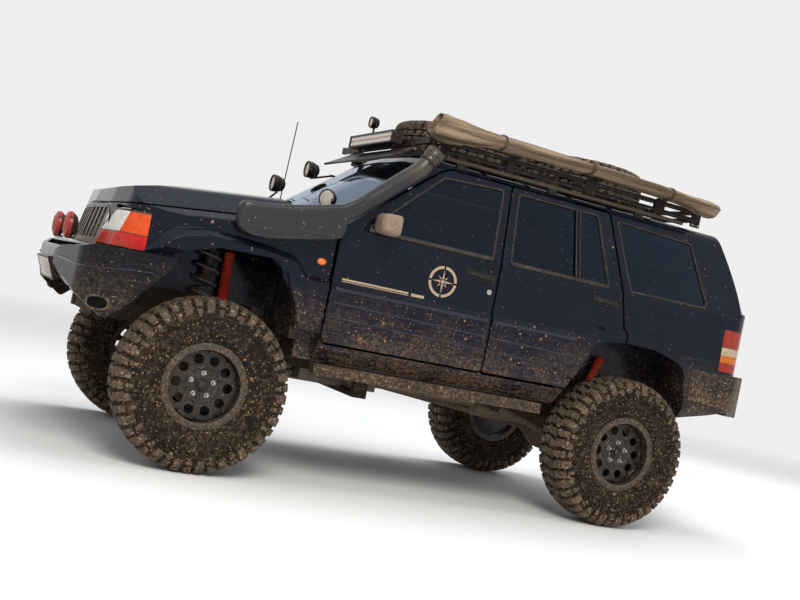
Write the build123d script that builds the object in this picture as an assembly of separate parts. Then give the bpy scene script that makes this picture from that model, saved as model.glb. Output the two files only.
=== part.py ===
from build123d import *
import math
import os

# Lifted off-road 4x4 with a roof rack, awning, snorkel and large mud tyres, in millimetres.
# Model frame: X runs from the front axle to the rear, Y to the vehicle's right side, Z up from the ground.
# The finished pieces move forward by middle_x, so that the origin is on the ground under the middle of the length.

# Overall
wheelbase = 2691
front_reach = 822          # front axle to the foremost point of the bumper
rear_reach = 1010          # rear axle to the hindmost point of the bumper
tyre_radius = 465
tyre_width = 318
half_track = 805           # middle of each tyre
ride_drop = 75             # the axle's height over the body's own base plane
base = tyre_radius - ride_drop
middle_x = (wheelbase + rear_reach - front_reach) / 2


def up(height):
    """Height over the ground of a height given over the body's own base plane."""
    return base + height


def aft(length):
    """Place along X given from the rear axle."""
    return wheelbase + length


# Body heights
sill_z = up(300)
door_low_z = up(415)
clad_z = up(745)
belt_z = up(1058)
cowl_z = up(1100)
gutter_z = up(1535)
roof_z = up(1602)
# Body widths, half of each
sill_y = 800
clad_y = 888
belt_y = 868
roof_y = 722
nose_y = 866
# Body lengths
firewall_x = 440
firewall_y = 790
floor_y = 780              # half the floor pan's width
hinge_pillar_x = 588
tail_x = aft(925)
far_x = tail_x + 600       # past everything at the rear
wall = 60                  # doors, pillars and roof sides
panel = 26                 # fenders and bumper skins
glass = 5
glass_set = 8              # glass below the outer surface
clear = 8                  # room beside moving pieces
shut = 12                  # gap round a door
frame = 34                 # door frames and roof sides above the belt
fit = 0.3                  # clearance between seated pieces

# Windscreen and rear screen: how far back the surface goes for each millimetre up
screen_lean = 1.333
screen_base_x = 430
screen_bow = 118           # how far the screen's ends lie behind its middle
tail_lean = -0.62

# Steering and front springs
kingpin_y = 690
spring_y = 500
spring_radius = 66
spring_top = up(790)
tower_radius = 60


def outline(plane, corners):
    """Closed face on a plane from (u, v) or (u, v, radius) corners, rounded where a radius is given."""
    points = [Vector(c[0], c[1]) for c in corners]
    radii = [c[2] if len(c) > 2 else 0 for c in corners]
    count = len(points)
    stops = []
    for i, (point, radius) in enumerate(zip(points, radii)):
        back = points[i - 1] - point
        ahead = points[(i + 1) % count] - point
        before = back.normalized()
        after = ahead.normalized()
        if radius == 0:
            stops.append((point, None, point))
            continue
        half = math.radians(before.get_angle(after)) / 2
        reach = min(radius / math.tan(half), 0.49 * back.length, 0.49 * ahead.length)
        radius = reach * math.tan(half)
        centre = point + (before + after).normalized() * (radius / math.sin(half))
        apex = centre + (point - centre).normalized() * radius
        stops.append((point + before * reach, apex, point + after * reach))
    edges = []
    for i, (start, apex, end) in enumerate(stops):
        if apex is not None:
            edges.append(Edge.make_three_point_arc(*(plane.from_local_coords(p) for p in (start, apex, end))))
        following = stops[(i + 1) % count][0]
        if (following - end).length > 0.001:
            edges.append(Edge.make_line(plane.from_local_coords(end), plane.from_local_coords(following)))
    return Face(Wire(edges))


def side_prism(corners, y_low, y_high):
    """Solid from an outline of (x, z) corners, between two Y planes."""
    plane = Plane(origin=(0, y_low, 0), x_dir=(1, 0, 0), z_dir=(0, -1, 0))
    return extrude(outline(plane, corners), amount=y_high - y_low, dir=(0, 1, 0))


def end_prism(corners, x_low, x_high, rise=0):
    """Solid from an outline of (y, z) corners, between two X planes, climbing by rise for each millimetre back."""
    plane = Plane(origin=(x_low, 0, 0), x_dir=(0, 1, 0), z_dir=(1, 0, 0))
    run = x_high - x_low
    return extrude(outline(plane, corners), amount=run * math.hypot(1, rise), dir=Vector(1, 0, rise).normalized())


def plan_prism(corners, z_low, z_high, lean=0):
    """Solid from an outline of (x, y) corners, between two heights, moving back by lean for each millimetre up."""
    plane = Plane(origin=(0, 0, z_low), x_dir=(1, 0, 0), z_dir=(0, 0, 1))
    run = z_high - z_low
    return extrude(outline(plane, corners), amount=run * math.hypot(1, lean), dir=Vector(lean, 0, 1).normalized())


def mirrored(half):
    """Both halves of an outline whose first coordinate is the distance from the middle plane."""
    other = [(-c[0], *c[1:]) for c in reversed(half) if c[0] != 0]
    return half + other


def mirrored_plan(half):
    """Both halves of a plan outline, from corners (x, y, radius) on the right side."""
    other = [(c[0], -c[1], *c[2:]) for c in reversed(half) if c[1] != 0]
    return half + other


def block(x, y, z, size):
    """Box of (length, width, height) with its centre at x, y, z."""
    return Pos(x, y, z) * Box(*size)


def rod(start, end, radius):
    """Round bar between two points."""
    start, end = Vector(start), Vector(end)
    return Solid.make_cylinder(radius, (end - start).length, Plane(origin=start, z_dir=end - start))


def ring_y(x, y, z, outer, inner, width):
    """Ring or disc whose axis runs along Y, centred at x, y, z."""
    place = Pos(x, y, z) * Rot(90, 0, 0)
    solid = place * Cylinder(outer, width)
    return solid - place * Cylinder(inner, width + 2) if inner else solid


def solids_of(shape):
    """The solids of a shape, largest first."""
    return sorted(shape.solids(), key=lambda s: -s.volume)


def piece(*shapes):
    """One node from several solids that don't touch."""
    return Compound([s for shape in shapes for s in solids_of(shape)])


# Cabin: section and plan outlines, drawn again with an inset for the inner surface

def cabin_section(inset):
    step = [(clad_y - inset, door_low_z + 60), (clad_y - inset, clad_z - 12), (belt_y + 4 - inset, clad_z + 12)]
    half = [(0, sill_z + inset), (sill_y - inset, sill_z + inset, 30), (clad_y - 8 - inset, door_low_z)]
    half += step if inset < 20 else [(belt_y - inset, clad_z)]
    slim = inset * frame / wall
    half += [(belt_y - inset, belt_z - inset / 3), (roof_y + 2 - slim, roof_z - 26 - slim, 85 - slim)]
    half += [(400, roof_z - 6 - inset), (0, roof_z - inset)]
    return mirrored(half)


def tail_plan(inset, front_x, front_y):
    corner = 150 - inset
    half = [(front_x, front_y - inset), (1250, clad_y + 6 - inset), (aft(209), clad_y + 6 - inset)]
    half += [(tail_x - 60 - inset, 862 - inset, corner), (tail_x - 14 - inset, 420, 600), (tail_x - inset, 0)]
    return mirrored_plan([(front_x, 0)] + half)


def cabin_volume(inset):
    section = cabin_section(inset)
    low = end_prism(section, 0, far_x) & plan_prism(tail_plan(inset, hinge_pillar_x + inset, 880), sill_z - 5, cowl_z)
    jog = firewall_y - inset
    low += end_prism(mirrored([(0, sill_z + inset), (jog, sill_z + inset), (jog, cowl_z), (0, cowl_z)]),
                     firewall_x + inset, hinge_pillar_x + inset + 1)
    bow = [(screen_base_x + inset, 0), (screen_base_x + inset + 14, 330, 900)]
    bow += [(screen_base_x + inset + screen_bow, 790, 220), (screen_base_x + inset + screen_bow + 70, 905), (far_x, 905)]
    rear = [(-900, 905)] + tail_plan(inset, 0, 905)[2:-1] + [(-900, -905)]
    high = end_prism(section, -200, far_x)
    high &= plan_prism(mirrored_plan(bow + [(far_x, 0)]), cowl_z, roof_z + 20, screen_lean)
    high &= plan_prism(rear, cowl_z - 40, roof_z + 20, tail_lean)
    return low + high


def band(outer_inset, inner_inset):
    return cabin_volume(outer_inset) - cabin_volume(inner_inset)


# Side outlines in (x, z)
b_low_x = 1608
b_high_x = 1650
c_belt_x = aft(-198)
c_high_x = aft(-317)
front_arch = [(-560, up(250)), (-500, up(420), 60), (-262, up(742), 90), (-60, up(800), 240), (258, up(806), 90),
              (405, up(590), 160), (458, up(330), 40), (462, up(250))]
rear_arch = [(aft(-511), up(250)), (aft(-486), up(400), 60), (aft(-339), up(722), 90), (aft(-131), up(757), 400),
             (aft(109), up(752), 400), (aft(349), up(690), 130), (aft(421), up(480), 160), (aft(427), up(250))]
front_door_out = [(596, door_low_z, 30), (596, up(1052), 8), (612, up(1066)), (1172, up(1502), 60), (1240, gutter_z, 60),
                  (b_high_x, gutter_z, 14), (b_low_x, belt_z), (b_low_x, door_low_z, 14)]
rear_door_out = [(b_low_x + 14, door_low_z, 14), (b_low_x + 14, belt_z), (b_high_x + 14, gutter_z, 14),
                 (c_high_x, gutter_z, 30), (c_belt_x, belt_z), (aft(-129), up(790)), (aft(-129), up(700)), (aft(-439), door_low_z, 30)]
front_window = [(742, up(1078), 14), (1196, up(1480), 60), (1602, up(1502), 30), (1556, up(1078), 20)]
rear_window = [(1676, up(1078), 20), (1706, up(1502), 30), (aft(-399), up(1502), 30), (aft(-299), up(1078), 20)]
quarter_window = [(aft(-135), up(1076), 20), (aft(-255), up(1500), 20), (aft(339), up(1478), 40), (aft(489), up(1082), 40)]
mullion = [(aft(-548), up(1060)), (aft(-522), up(1060)), (aft(-541), up(1520)), (aft(-567), up(1520))]


front_flare = [(-440, up(702)), (-352, up(824), 60), (-284, up(864), 80), (-123, up(900), 200), (187, up(882), 200),
               (374, up(860), 110), (478, up(752), 120), (516, up(400)), (430, up(400)), (300, up(702))]
rear_flare = [(aft(-561), up(440)), (aft(-432), up(738), 60), (aft(-377), up(800), 70), (aft(-319), up(846), 90), (aft(-155), up(864), 600),
              (aft(30), up(874), 300), (aft(240), up(856), 150), (aft(367), up(774), 90), (aft(425), up(690)), (aft(425), up(480)),
              (aft(309), up(480)), (aft(-391), up(440))]
flare_root = 846           # the flares' inner plane, within the fender
flare_out = 60             # how far they stand out from it
flare_slope = 38           # degrees, their sloping edge


def side_cut(corners, side, depth_low=540, depth_high=960, gap=0):
    """Prism of a side outline through one side wall, widened by a gap. side is -1 for left."""
    plane = Plane(origin=(0, depth_low * side, 0), x_dir=(1, 0, 0), z_dir=(0, -1, 0))
    face = outline(plane, corners)
    if gap:
        face = Face(face.outer_wire().offset_2d(gap, kind=Kind.INTERSECTION))
    return extrude(face, amount=depth_high - depth_low, dir=(0, side, 0))


def flare(corners, side):
    """Widening round an arch with sloping edges. side is -1 for left."""
    plane = Plane(origin=(0, -flare_root, 0), x_dir=(1, 0, 0), z_dir=(0, -1, 0))
    left = extrude(outline(plane, corners), amount=flare_out, dir=(0, -1, 0), taper=flare_slope)
    return left if side == -1 else mirror(left, Plane.XZ)


shell = band(0, wall)
glass_skin = band(glass_set, glass_set + glass)
nodes = {}


rear_arch_cuts = [side_cut(rear_arch, side, 560, 960) for side in (-1, 1)]
shell += [flare(rear_flare, side) for side in (-1, 1)]
shell -= rear_arch_cuts
body = shell
pillar_y = clad_y - wall - 20
pillar_depth = 2 * (pillar_y - clear)
hinge_pillars = block(hinge_pillar_x, 0, up(700), (4 * wall, 2 * pillar_y, 714))
for side, name in ((-1, "left"), (1, "right")):
    for door, edge, window in (("front", front_door_out, front_window), ("rear", rear_door_out, rear_window)):
        tool = side_cut(edge, side)
        opening = side_cut(window, side)
        if door == "rear":
            opening -= side_cut(mullion, side)
        nodes[f"{door}_door_{name}"] = solids_of((shell & tool) - opening - hinge_pillars)[0]
        pane = side_cut(window, side, gap=-fit)
        if door == "rear":
            pane -= side_cut(mullion, side, gap=fit)
        nodes[f"{door}_door_glass_{name}"] = piece(glass_skin & pane)
        gap = side_cut(edge, side, gap=shut if door == "front" else 15)
        body -= gap - block(hinge_pillar_x, 0, up(700), (4 * wall, pillar_depth, 714))


def screen_prism(less):
    half = [(0, up(1130) + less), (742 - less, up(1130) + less, 60), (640 - less, up(1545) - less, 60), (0, up(1560) - less)]
    return end_prism(mirrored(half), 300, 1500)


quarter_cuts = [side_cut(quarter_window, side) for side in (-1, 1)]
quarter_panes = [side_cut(quarter_window, side, gap=-fit) for side in (-1, 1)]

gate_low_z = up(702)
gate_x = aft(459)
gate_outline = mirrored([(0, gate_low_z), (700, gate_low_z, 30), (742, up(1050), 60), (642, up(1562), 40), (0, up(1568))])
gate_tool = end_prism(gate_outline, gate_x, far_x)
gate_gap = end_prism(mirrored([(0, gate_low_z - shut), (700 + shut, gate_low_z - shut, 30), (742 + shut, up(1050), 60),
                               (642 + shut, up(1562) + shut, 40), (0, up(1568) + shut)]), gate_x, far_x)


def gate_glass_prism(less):
    half = [(0, up(1090) + less), (640 - less, up(1090) + less, 50), (560 - less, up(1500) - less, 50), (0, up(1510) - less)]
    return end_prism(mirrored(half), gate_x, far_x)


gate_window = gate_glass_prism(0)
gate = solids_of((shell & gate_tool) - gate_window)[0]
nodes["liftgate"] = gate
nodes["liftgate_glass"] = solids_of(glass_skin & gate_glass_prism(fit))[0]
body -= gate_gap
nodes["fixed_glass"] = piece(*[glass_skin & c for c in quarter_panes], glass_skin & screen_prism(fit))
body -= quarter_cuts
body -= screen_prism(0)
rear_rise = side_prism([(aft(427), up(250)), (far_x, up(250)), (far_x, up(462)), (aft(772), up(440)), (aft(427), up(356))],
                       -900, 900)
body -= rear_rise
toe_cut = block(firewall_x, 0, sill_z, (2 * 40, 4 * firewall_y, 200)) - block(firewall_x, 0, sill_z, (90, 2 * 560, 210))
body -= toe_cut
floor_cut = block(far_x / 2, 0, sill_z + wall / 2, (far_x, 2 * floor_y, wall))
nodes["floor_pan"] = (body & floor_cut) - block(aft(609), 0, sill_z, (440, 4 * floor_y, 200))
body -= floor_cut
load_floor = side_prism([(aft(369), up(360)), (aft(427), up(360)), (aft(772), up(444)), (tail_x - 56, up(450)),
                         (tail_x - 56, up(474)), (aft(369), up(474))], -800, 800)
load_floor &= cabin_volume(wall)
house_out = [(aft(-525), up(361)), (aft(-503), up(414), 60), (aft(-349), up(740), 90), (aft(-131), up(776), 400),
             (aft(109), up(771), 400), (aft(361), up(704), 130), (aft(436), up(480), 160), (aft(439), up(361))]
for side in (-1, 1):
    house = side_cut(house_out, side, 560, 868 - wall - 1)
    house -= side_cut(rear_arch, side, 572, 960)
    body += house & cabin_volume(wall - 20)
    load_floor -= side_cut(house_out, side, 560, 960)
body += load_floor
nodes["body_shell"] = body

# Front: hood, fenders and wheelhouses in one skin, climbing to the cowl
edge_rise = 0.113
nose_x = -700


def edge_z(x):
    """Height of the line between hood and fender."""
    return up(914 + edge_rise * (x + 640))


def front_volume(inset, back=None):
    """Nose, fenders and hood as a solid; back insets only the plan outline."""
    plan = inset if back is None else back
    start = -700
    low = edge_z(start) - up(0)
    top = [(0, low + 140), (480, low + 136), (640, low + 120, 90), (798, low + 2, 40), (866, low - 34, 40), (866, low - 640)]
    top = [(max(c[0] - inset, 0), up(c[1]) - inset, *c[2:]) for c in top] + [(0, up(low - 640))]
    skin = end_prism(mirrored(top), start, hinge_pillar_x - 10, edge_rise)
    crown = [(-700, up(940)), (-640, up(966), 20), (-560, up(1018), 90), (-400, up(1058), 300), (-140, up(1112), 600)]
    crown += [(115, up(1146), 400), (285, up(1150), 200), (405, up(1112), 60), (600, cowl_z)]
    side = [(c[0] + inset, c[1] - inset, *c[2:]) for c in crown] + [(600, up(420)), (-700 + inset, up(420))]
    skin &= side_prism(side, -900, 900)
    nose = [(nose_x + plan, 0), (nose_x + 20 + plan, 430, 600), (nose_x + 75 + plan, 770 - plan, 160)]
    nose += [(nose_x + 300, 852 - plan, 500), (600, 874 - plan), (600, 0)]
    skin &= plan_prism(mirrored_plan(nose), up(420), up(1210), 0.2)
    return skin


def clad_volume(inset):
    """Lower side cladding ahead of the doors."""
    section = [(0, up(440)), (clad_y - inset, up(440)), (clad_y - inset, clad_z - 12), (belt_y - 2 - inset, clad_z + 12)]
    section += [(0, clad_z + 12)]
    return end_prism(mirrored(section), 300, hinge_pillar_x - 10)


front_skin = front_volume(0) - front_volume(panel)
front_skin += clad_volume(0) - clad_volume(panel) - front_volume(panel)
front_skin += [flare(front_flare, side) for side in (-1, 1)]
front_skin -= block(0, 0, up(300), (3000, 3000, 320))
front_skin -= block(0, 0, up(560), (1200, 3000, 270)) & block(-500, 0, up(560), (1200, 3000, 270))
front_skin -= block(1428 + firewall_x, 0, up(700), (2880, 1582, 1200))
front_skin -= [side_cut(front_arch, side, 400, 960) for side in (-1, 1)]

hood_over = side_prism([(-720, edge_z(-720) + 12), (620, edge_z(620) + 12), (620, up(1300)), (-720, up(1300))], -900, 900)
gap_over = side_prism([(-720, edge_z(-720) + 4), (620, edge_z(620) + 4), (620, up(1300)), (-720, up(1300))], -900, 900)
hood_tool = plan_prism(mirrored_plan([(-720, 0), (-720, 812), (450, 812, 60), (398, 420, 900), (380, 0)]), up(860), up(1300))
gap_tool = plan_prism(mirrored_plan([(-740, 0), (-740, 822), (461, 822, 60), (408, 420, 900), (390, 0)]), up(850), up(1310))
nose_open = end_prism(mirrored([(0, up(690)), (836, up(700), 10), (836, up(902), 10), (454, up(930)), (0, up(938))]), -760, -430)
nose_open -= block(-495, 0, up(800), (170, 1090, 600))
nodes["hood"] = solids_of(((front_skin & hood_tool) & hood_over) - nose_open)[0]
fenders = front_skin - (gap_tool & gap_over) - nose_open

house_y = 420              # inner wall of the front wheelhouses
house_top = up(867)
wheelhouse = []
for side in (-1, 1):
    wheelhouse.append(block(-57, side * house_y, up(715), (986, 12, 390)))
    roof_plate = block(-50, side * (house_y + 845) / 2, house_top + 5, (880, 845 - house_y, 10))
    wheelhouse.append(roof_plate & front_volume(panel))
    wheelhouse.append(Pos(0, side * spring_y, (spring_top + house_top) / 2) * Cylinder(tower_radius, house_top - spring_top + 4))
radiator_panel = block(-520, 0, up(640), (24, 1064, 460))
nodes["fenders"] = fenders + wheelhouse + [radiator_panel]

# Front face: lamps and slotted grille between the fenders
face_band = front_volume(0) - front_volume(0, 70)


def nose_piece(corners):
    return (face_band & end_prism(corners, -760, -430)) - block(-434, 0, up(800), (300, 1100, 600))


def lamp_outline(inner, outer, low, high):
    return [(inner, up(low)), (outer, up(low)), (outer, up(high)), (inner, up(high))]


lamps = []
for side in (-1, 1):
    lamps.append(nose_piece([(side * c[0], c[1]) for c in lamp_outline(466, 828, 706, 896)]))
nodes["front_lamps"] = piece(*lamps)
grille = nose_piece(mirrored([(0, up(696)), (458, up(696)), (458, up(916)), (0, up(926))]))
slots = 8
for i in range(slots):
    y = (i - (slots - 1) / 2) * 106
    grille -= block(-600, y, up(812), (300, 66, 176))
nodes["grille"] = grille + block(-572, 0, up(802), (16, 900, 180))

nodes["fenders"] = nodes["fenders"] - nodes["front_lamps"] - nodes["grille"]

# Front bumper cover
bumper_front = 16 - front_reach
bumper_side = [(bumper_front, up(560), 30), (bumper_front + 8, up(640), 40), (-668, up(690), 40), (-262, up(695)), (-262, up(660)),
               (-455, up(430), 60), (-500, up(385)), (-570, up(322), 30), (-725, up(430), 40)]


def bumper_volume(inset):
    plan = [(bumper_front + inset, 0), (bumper_front + 4 + inset, 330, 900), (-720 + inset, 800 - inset, 170), (-560, 868 - inset, 500)]
    plan += [(-200, 884 - inset), (-200, 0)]
    side = side_prism(bumper_side, -900, 900)
    return side & plan_prism(mirrored_plan(plan), up(300), up(720))


bumper = bumper_volume(0) - bumper_volume(panel)
bumper += block(-690, 0, up(680), (200, 1500, 14)) & bumper_volume(2)
bumper -= front_volume(-1)
bumper -= block(-800, 0, up(430), (200, 640, 90))
for side in (-1, 1):
    bumper -= block(-690, side * 560, up(420), (400, 190, 60))
plate_holder = [(bumper_front + 4, up(578)), (-front_reach, up(572)), (50 - front_reach, up(450)), (76 - front_reach, up(458))]
bumper += side_prism(plate_holder, -268, 268)
nodes["front_bumper"] = bumper

# Rear bumper and lamps
rear_side = [(0, up(420)), (780, up(420), 30), (884, up(470), 30), (884, up(690), 10), (0, up(690))]
rear_bumper = end_prism(mirrored(rear_side), aft(434), far_x)
rear_plan = [(aft(434), 0), (aft(434), 890), (aft(809), 886, 160), (aft(974), 780, 150), (aft(rear_reach), 380, 500),
             (aft(rear_reach), 0)]
rear_bumper &= plan_prism(mirrored_plan(rear_plan), up(400), up(700))
rear_bumper -= cabin_volume(-1)
nodes["rear_bumper"] = rear_bumper
tail_lamps = []
tail_gap = []
for side in (-1, 1):
    lamp_edge = [(aft(661), up(706), 8), (far_x, up(702)), (far_x, up(982)), (aft(654), up(978), 8)]
    tail_lamps.append(side_cut(lamp_edge, side, 752, 960) & band(0, 40))
    tail_gap.append(side_cut(lamp_edge, side, 752, 960, gap=fit) & band(0, 40 + fit))
nodes["tail_lamps"] = piece(*tail_lamps)
nodes["body_shell"] -= tail_gap

# Side trim: rock rails under the sills
rails = []
rail_start, rail_end = hinge_pillar_x + 2, aft(-621)
rail_middle = (rail_start + rail_end) / 2
for side in (-1, 1):
    rails.append(block(rail_middle, side * 842, up(262), (rail_end - rail_start, 74, 60)))
    for x in (rail_start + 130, rail_middle, rail_end - 130):
        rails.append(block(x, side * 770, up(274), (50, 80, 34)))
        rails.append(block(x, side * 745, up(292), (90, 60, 16)))
rail_left = rails[0].fuse(*rails[1:7])
rail_right = rails[7].fuse(*rails[8:])
nodes["rock_rails"] = piece(rail_left, rail_right)

# Snorkel along the left fender and windscreen pillar
box = [(-20, up(1000), 40), (8, up(934), 40), (120, up(890), 90), (520, up(966), 90), (584, up(990), 30), (586, up(1072), 12),
       (733, up(1186)), (664, up(1258)), (540, up(1172), 200), (29, up(1076), 60)]
box_in, box_edge, box_out = 869, 932, 958
box_plane = Plane(origin=(0, -box_edge, 0), x_dir=(1, 0, 0), z_dir=(0, -1, 0))
snorkel = side_prism(box, -box_edge, -box_in)
snorkel += extrude(outline(box_plane, box), amount=box_out - box_edge, dir=(0, -1, 0), taper=42)
bend = Vector(985, -836, up(1466))
snorkel += rod((668, -903, up(1192)), bend, 50) + rod(bend, bend + Vector(70, 0, 98), 50)
snorkel += Pos(bend.X, bend.Y, bend.Z) * Sphere(50)
snorkel += rod(bend + Vector(42, 0, 59), bend + Vector(98, 0, 138), 57)
nodes["snorkel"] = snorkel

# Mirrors on the front doors
for side, name in ((-1, "left"), (1, "right")):
    housing = plan_prism([(772, -845, 10), (790, -1008, 30), (872, -1000, 20), (884, -880, 20)], up(1062), up(1182))
    arm = block(800, -858, up(1080), (60, 60, 36))
    mirror_piece = housing + arm
    mirror_piece -= cabin_volume(0)
    if side == 1:
        mirror_piece = mirror(mirror_piece, Plane.XZ)
    nodes[f"mirror_{name}"] = solids_of(mirror_piece)[0]

# Roof rack, its loads and lamps
rack_floor = up(1640)
rack_high = up(1692)
rack = []
rack_y = 700
rack_start, rack_end = 1190, aft(389)
rack_span = rack_end - rack_start
for side in (-1, 1):
    rack.append(rod((rack_start, side * rack_y, rack_floor), (rack_end, side * rack_y, rack_floor), 16))
    rack.append(rod((1075, side * rack_y, rack_high), (rack_end, side * rack_y, rack_high), 16))
    rack.append(rod((rack_start + 10, side * 704, up(1601)), (rack_end - 120, side * 704, up(1601)), 13))
    for share in (0, 0.223, 0.493, 0.825, 0.992):
        rack.append(block(rack_start + share * rack_span, side * rack_y, up(1648), (70, 12, 104)))
    for share in (0.06, 0.4, 0.75):
        rack.append(block(rack_start + share * rack_span, side * 706, up(1596), (60, 14, 96)))
for i in range(7):
    rack.append(block(rack_start + 10 + i * (rack_span - 26) / 6, 0, rack_floor, (30, 2 * rack_y + 10, 24)))
rack.append(block(1084, 0, up(1680), (24, 2 * rack_y + 10, 40)))
rack.append(block(rack_end - 8, 0, rack_high, (24, 2 * rack_y + 10, 24)))
for y in (-400, 0, 400):
    rack.append(block(rack_start + rack_span / 2, y, rack_floor, (rack_span - 10, 30, 20)))
roof_rack = rack[0].fuse(*rack[1:])
roof_rack -= cabin_volume(0)
nodes["roof_rack"] = roof_rack
nodes["wind_deflector"] = side_prism([(905, up(1548)), (913, up(1538)), (1090, up(1640)), (1082, up(1650))], -560, 560)
nodes["wind_deflector"] += [block(1078, y, up(1644), (20, 40, 20)) for y in (-500, 500)]
awning = [(999, up(1694), 20), (1068, up(1837), 20), (1180, up(1822)), (aft(-100), up(1824)), (aft(460), up(1761), 10),
          (aft(390), up(1641), 10), (aft(221), up(1679)), (aft(-493), up(1704)), (1568, up(1716)), (1169, up(1652), 30)]
roll_in, roll_out, roll_edge = -716 - fit, -892, 42
roll_faces = [Plane(origin=(0, y, 0), x_dir=(1, 0, 0), z_dir=(0, -1, 0)) for y in (roll_out + roll_edge, roll_in - roll_edge)]
bag = side_prism(awning, roll_out + roll_edge, roll_in - roll_edge)
bag += extrude(outline(roll_faces[0], awning), amount=roll_edge, dir=(0, -1, 0), taper=34)
bag += extrude(outline(roll_faces[1], awning), amount=roll_edge, dir=(0, 1, 0), taper=34)
nodes["awning_bag"] = bag
light_bar = block(1020, 0, up(1702), (84, 700, 76))
light_bar += [block(1066, y, up(1685), (11, 30, 30)) for y in (-300, 300)]
nodes["light_bar"] = light_bar


def mud_tyre(radius, half, bead, count):
    """Tyre about Y with count pitches of tread: flat-topped lugs in two staggered rows, cut apart at the shoulders."""
    turn = 360 / count
    shrink = math.cos(math.radians(turn / 2))
    groove_low, groove_in, groove_wide = radius - 22, 0.28 * half, 0.3 * turn / 57.3 * radius
    section = [(bead / shrink, 0.6 * half), (bead + 90, half), (radius - 66, 0.985 * half), (radius, 0.74 * half)]
    section = [(r * shrink, w) for r, w in section]
    corners = section + [(r, -w) for r, w in reversed(section)]
    plane = Plane(origin=(0, 0, 0), x_dir=(0, 0, 1), z_dir=(-1, 0, 0))
    slab = extrude(outline(plane, corners), amount=radius, both=True)
    reach = radius * math.tan(math.radians(turn / 2))
    wedge = side_prism([(0, 0), (reach, radius), (-reach, radius)], -half - 1, half + 1)
    sector = slab & wedge
    groove = Pos(0, (half + groove_in) / 2 + 10, groove_low + 50) * Box(groove_wide, half - groove_in + 20, 100)
    sector -= groove
    for way in (-1, 1):
        sector -= Rot(0, way * turn / 2, 0) * mirror(groove, Plane.XZ)
    copies = [Rot(0, (i + 0.5) * turn, 0) * sector for i in range(count)]
    return copies[0].fuse(*copies[1:])


spare_front, spare_rear = (1628, 20, 450, 205, 120), (aft(-131), 40, tyre_radius, 216, 131)
lying = []
lying_rims = []
for x, y, radius, bead, half in (spare_front, spare_rear):
    lying.append(Pos(x, y, rack_floor + 12.5 + half) * Rot(90, 0, 0) * mud_tyre(radius, half, bead, 15))
    lying_rims.append(Pos(x, y, rack_floor + 12.5 + half) * (Cylinder(bead - 1, 2 * half - 24) - Cylinder(60, 2 * half)))
nodes["spare_tyres"] = piece(*lying)
nodes["spare_rims"] = piece(*lying_rims)


def lamp_pod(x, y, z, radius, depth, foot):
    pod = Pos(x, y, z) * Rot(0, 90, 0) * Cylinder(radius, depth)
    return pod + rod((x, y, z - radius + 8), foot, 8)


pods = [lamp_pod(540, -700, up(1203), 52, 60, (512, -706, up(1112))) + block(508, -706, up(1105.5), (26, 40, 10)),
        lamp_pod(640, 625, up(1342), 58, 90, (512, 706, up(1112))) + block(508, 706, up(1105.5), (26, 40, 10)),
        lamp_pod(880, 690, up(1497), 58, 90, (1040, 716, up(1496))),
        lamp_pod(1084, 240, up(1850), 38, 60, (1084, 240, up(1701)))]
nodes["auxiliary_lamps"] = piece(*pods)
nodes["antenna"] = rod((745, 845, up(1262)), (750, 820, up(1812)), 4) + block(745, 845, up(1254), (30, 40, 24))
nodes["antenna"] -= cabin_volume(0)
driving = []
for y in (-240, 240):
    driving.append(Pos(-735, y, up(766)) * Rot(0, 90, 0) * Cylinder(74, 70) + block(-728, y, up(690), (30, 40, 12)))
nodes["driving_lamps"] = piece(*driving)

# Running gear
axle_z = tyre_radius
yoke_half = 82             # half the gap between the yoke arms that hold a knuckle
road_tyre = mud_tyre(tyre_radius, tyre_width / 2, 216, 22)


def rim(x, side):
    """Steel wheel with a dished disc, a bead ring and round holes."""
    solid = ring_y(0, 0, 0, 215.5, 196, 230)
    solid += ring_y(0, -119, 0, 237, 190, 8)
    solid += ring_y(0, 117, 0, 228, 198, 6)
    disc = ring_y(0, -52, 0, 197, 62, 14)
    for i in range(10):
        angle = 2 * math.pi * i / 10
        disc -= Pos(140 * math.cos(angle), -52, 140 * math.sin(angle)) * Rot(90, 0, 0) * Cylinder(27, 60)
    solid += disc
    solid += ring_y(0, -20, 0, 66, 0, 72)
    solid = solid if side == -1 else mirror(solid, Plane.XZ)
    return Pos(x, side * half_track, axle_z) * solid


for side, name in ((-1, "left"), (1, "right")):
    for x, place in ((0, "front"), (wheelbase, "rear")):
        nodes[f"tyre_{place}_{name}"] = Pos(x, side * half_track, axle_z) * road_tyre
        nodes[f"rim_{place}_{name}"] = rim(x, side)
    knuckle = ring_y(0, side * 745, axle_z, 60, 0, 40) + ring_y(0, side * 742, axle_z, 140, 0, 14)
    knuckle += Pos(0, side * kingpin_y, axle_z) * Cylinder(40, 2 * yoke_half - 2 * fit)
    knuckle += block(0, side * 715, axle_z, (70, 40, 120))
    knuckle += block(-80, side * 694, axle_z + 30, (100, 34, 24))
    nodes[f"knuckle_{name}"] = knuckle

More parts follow.
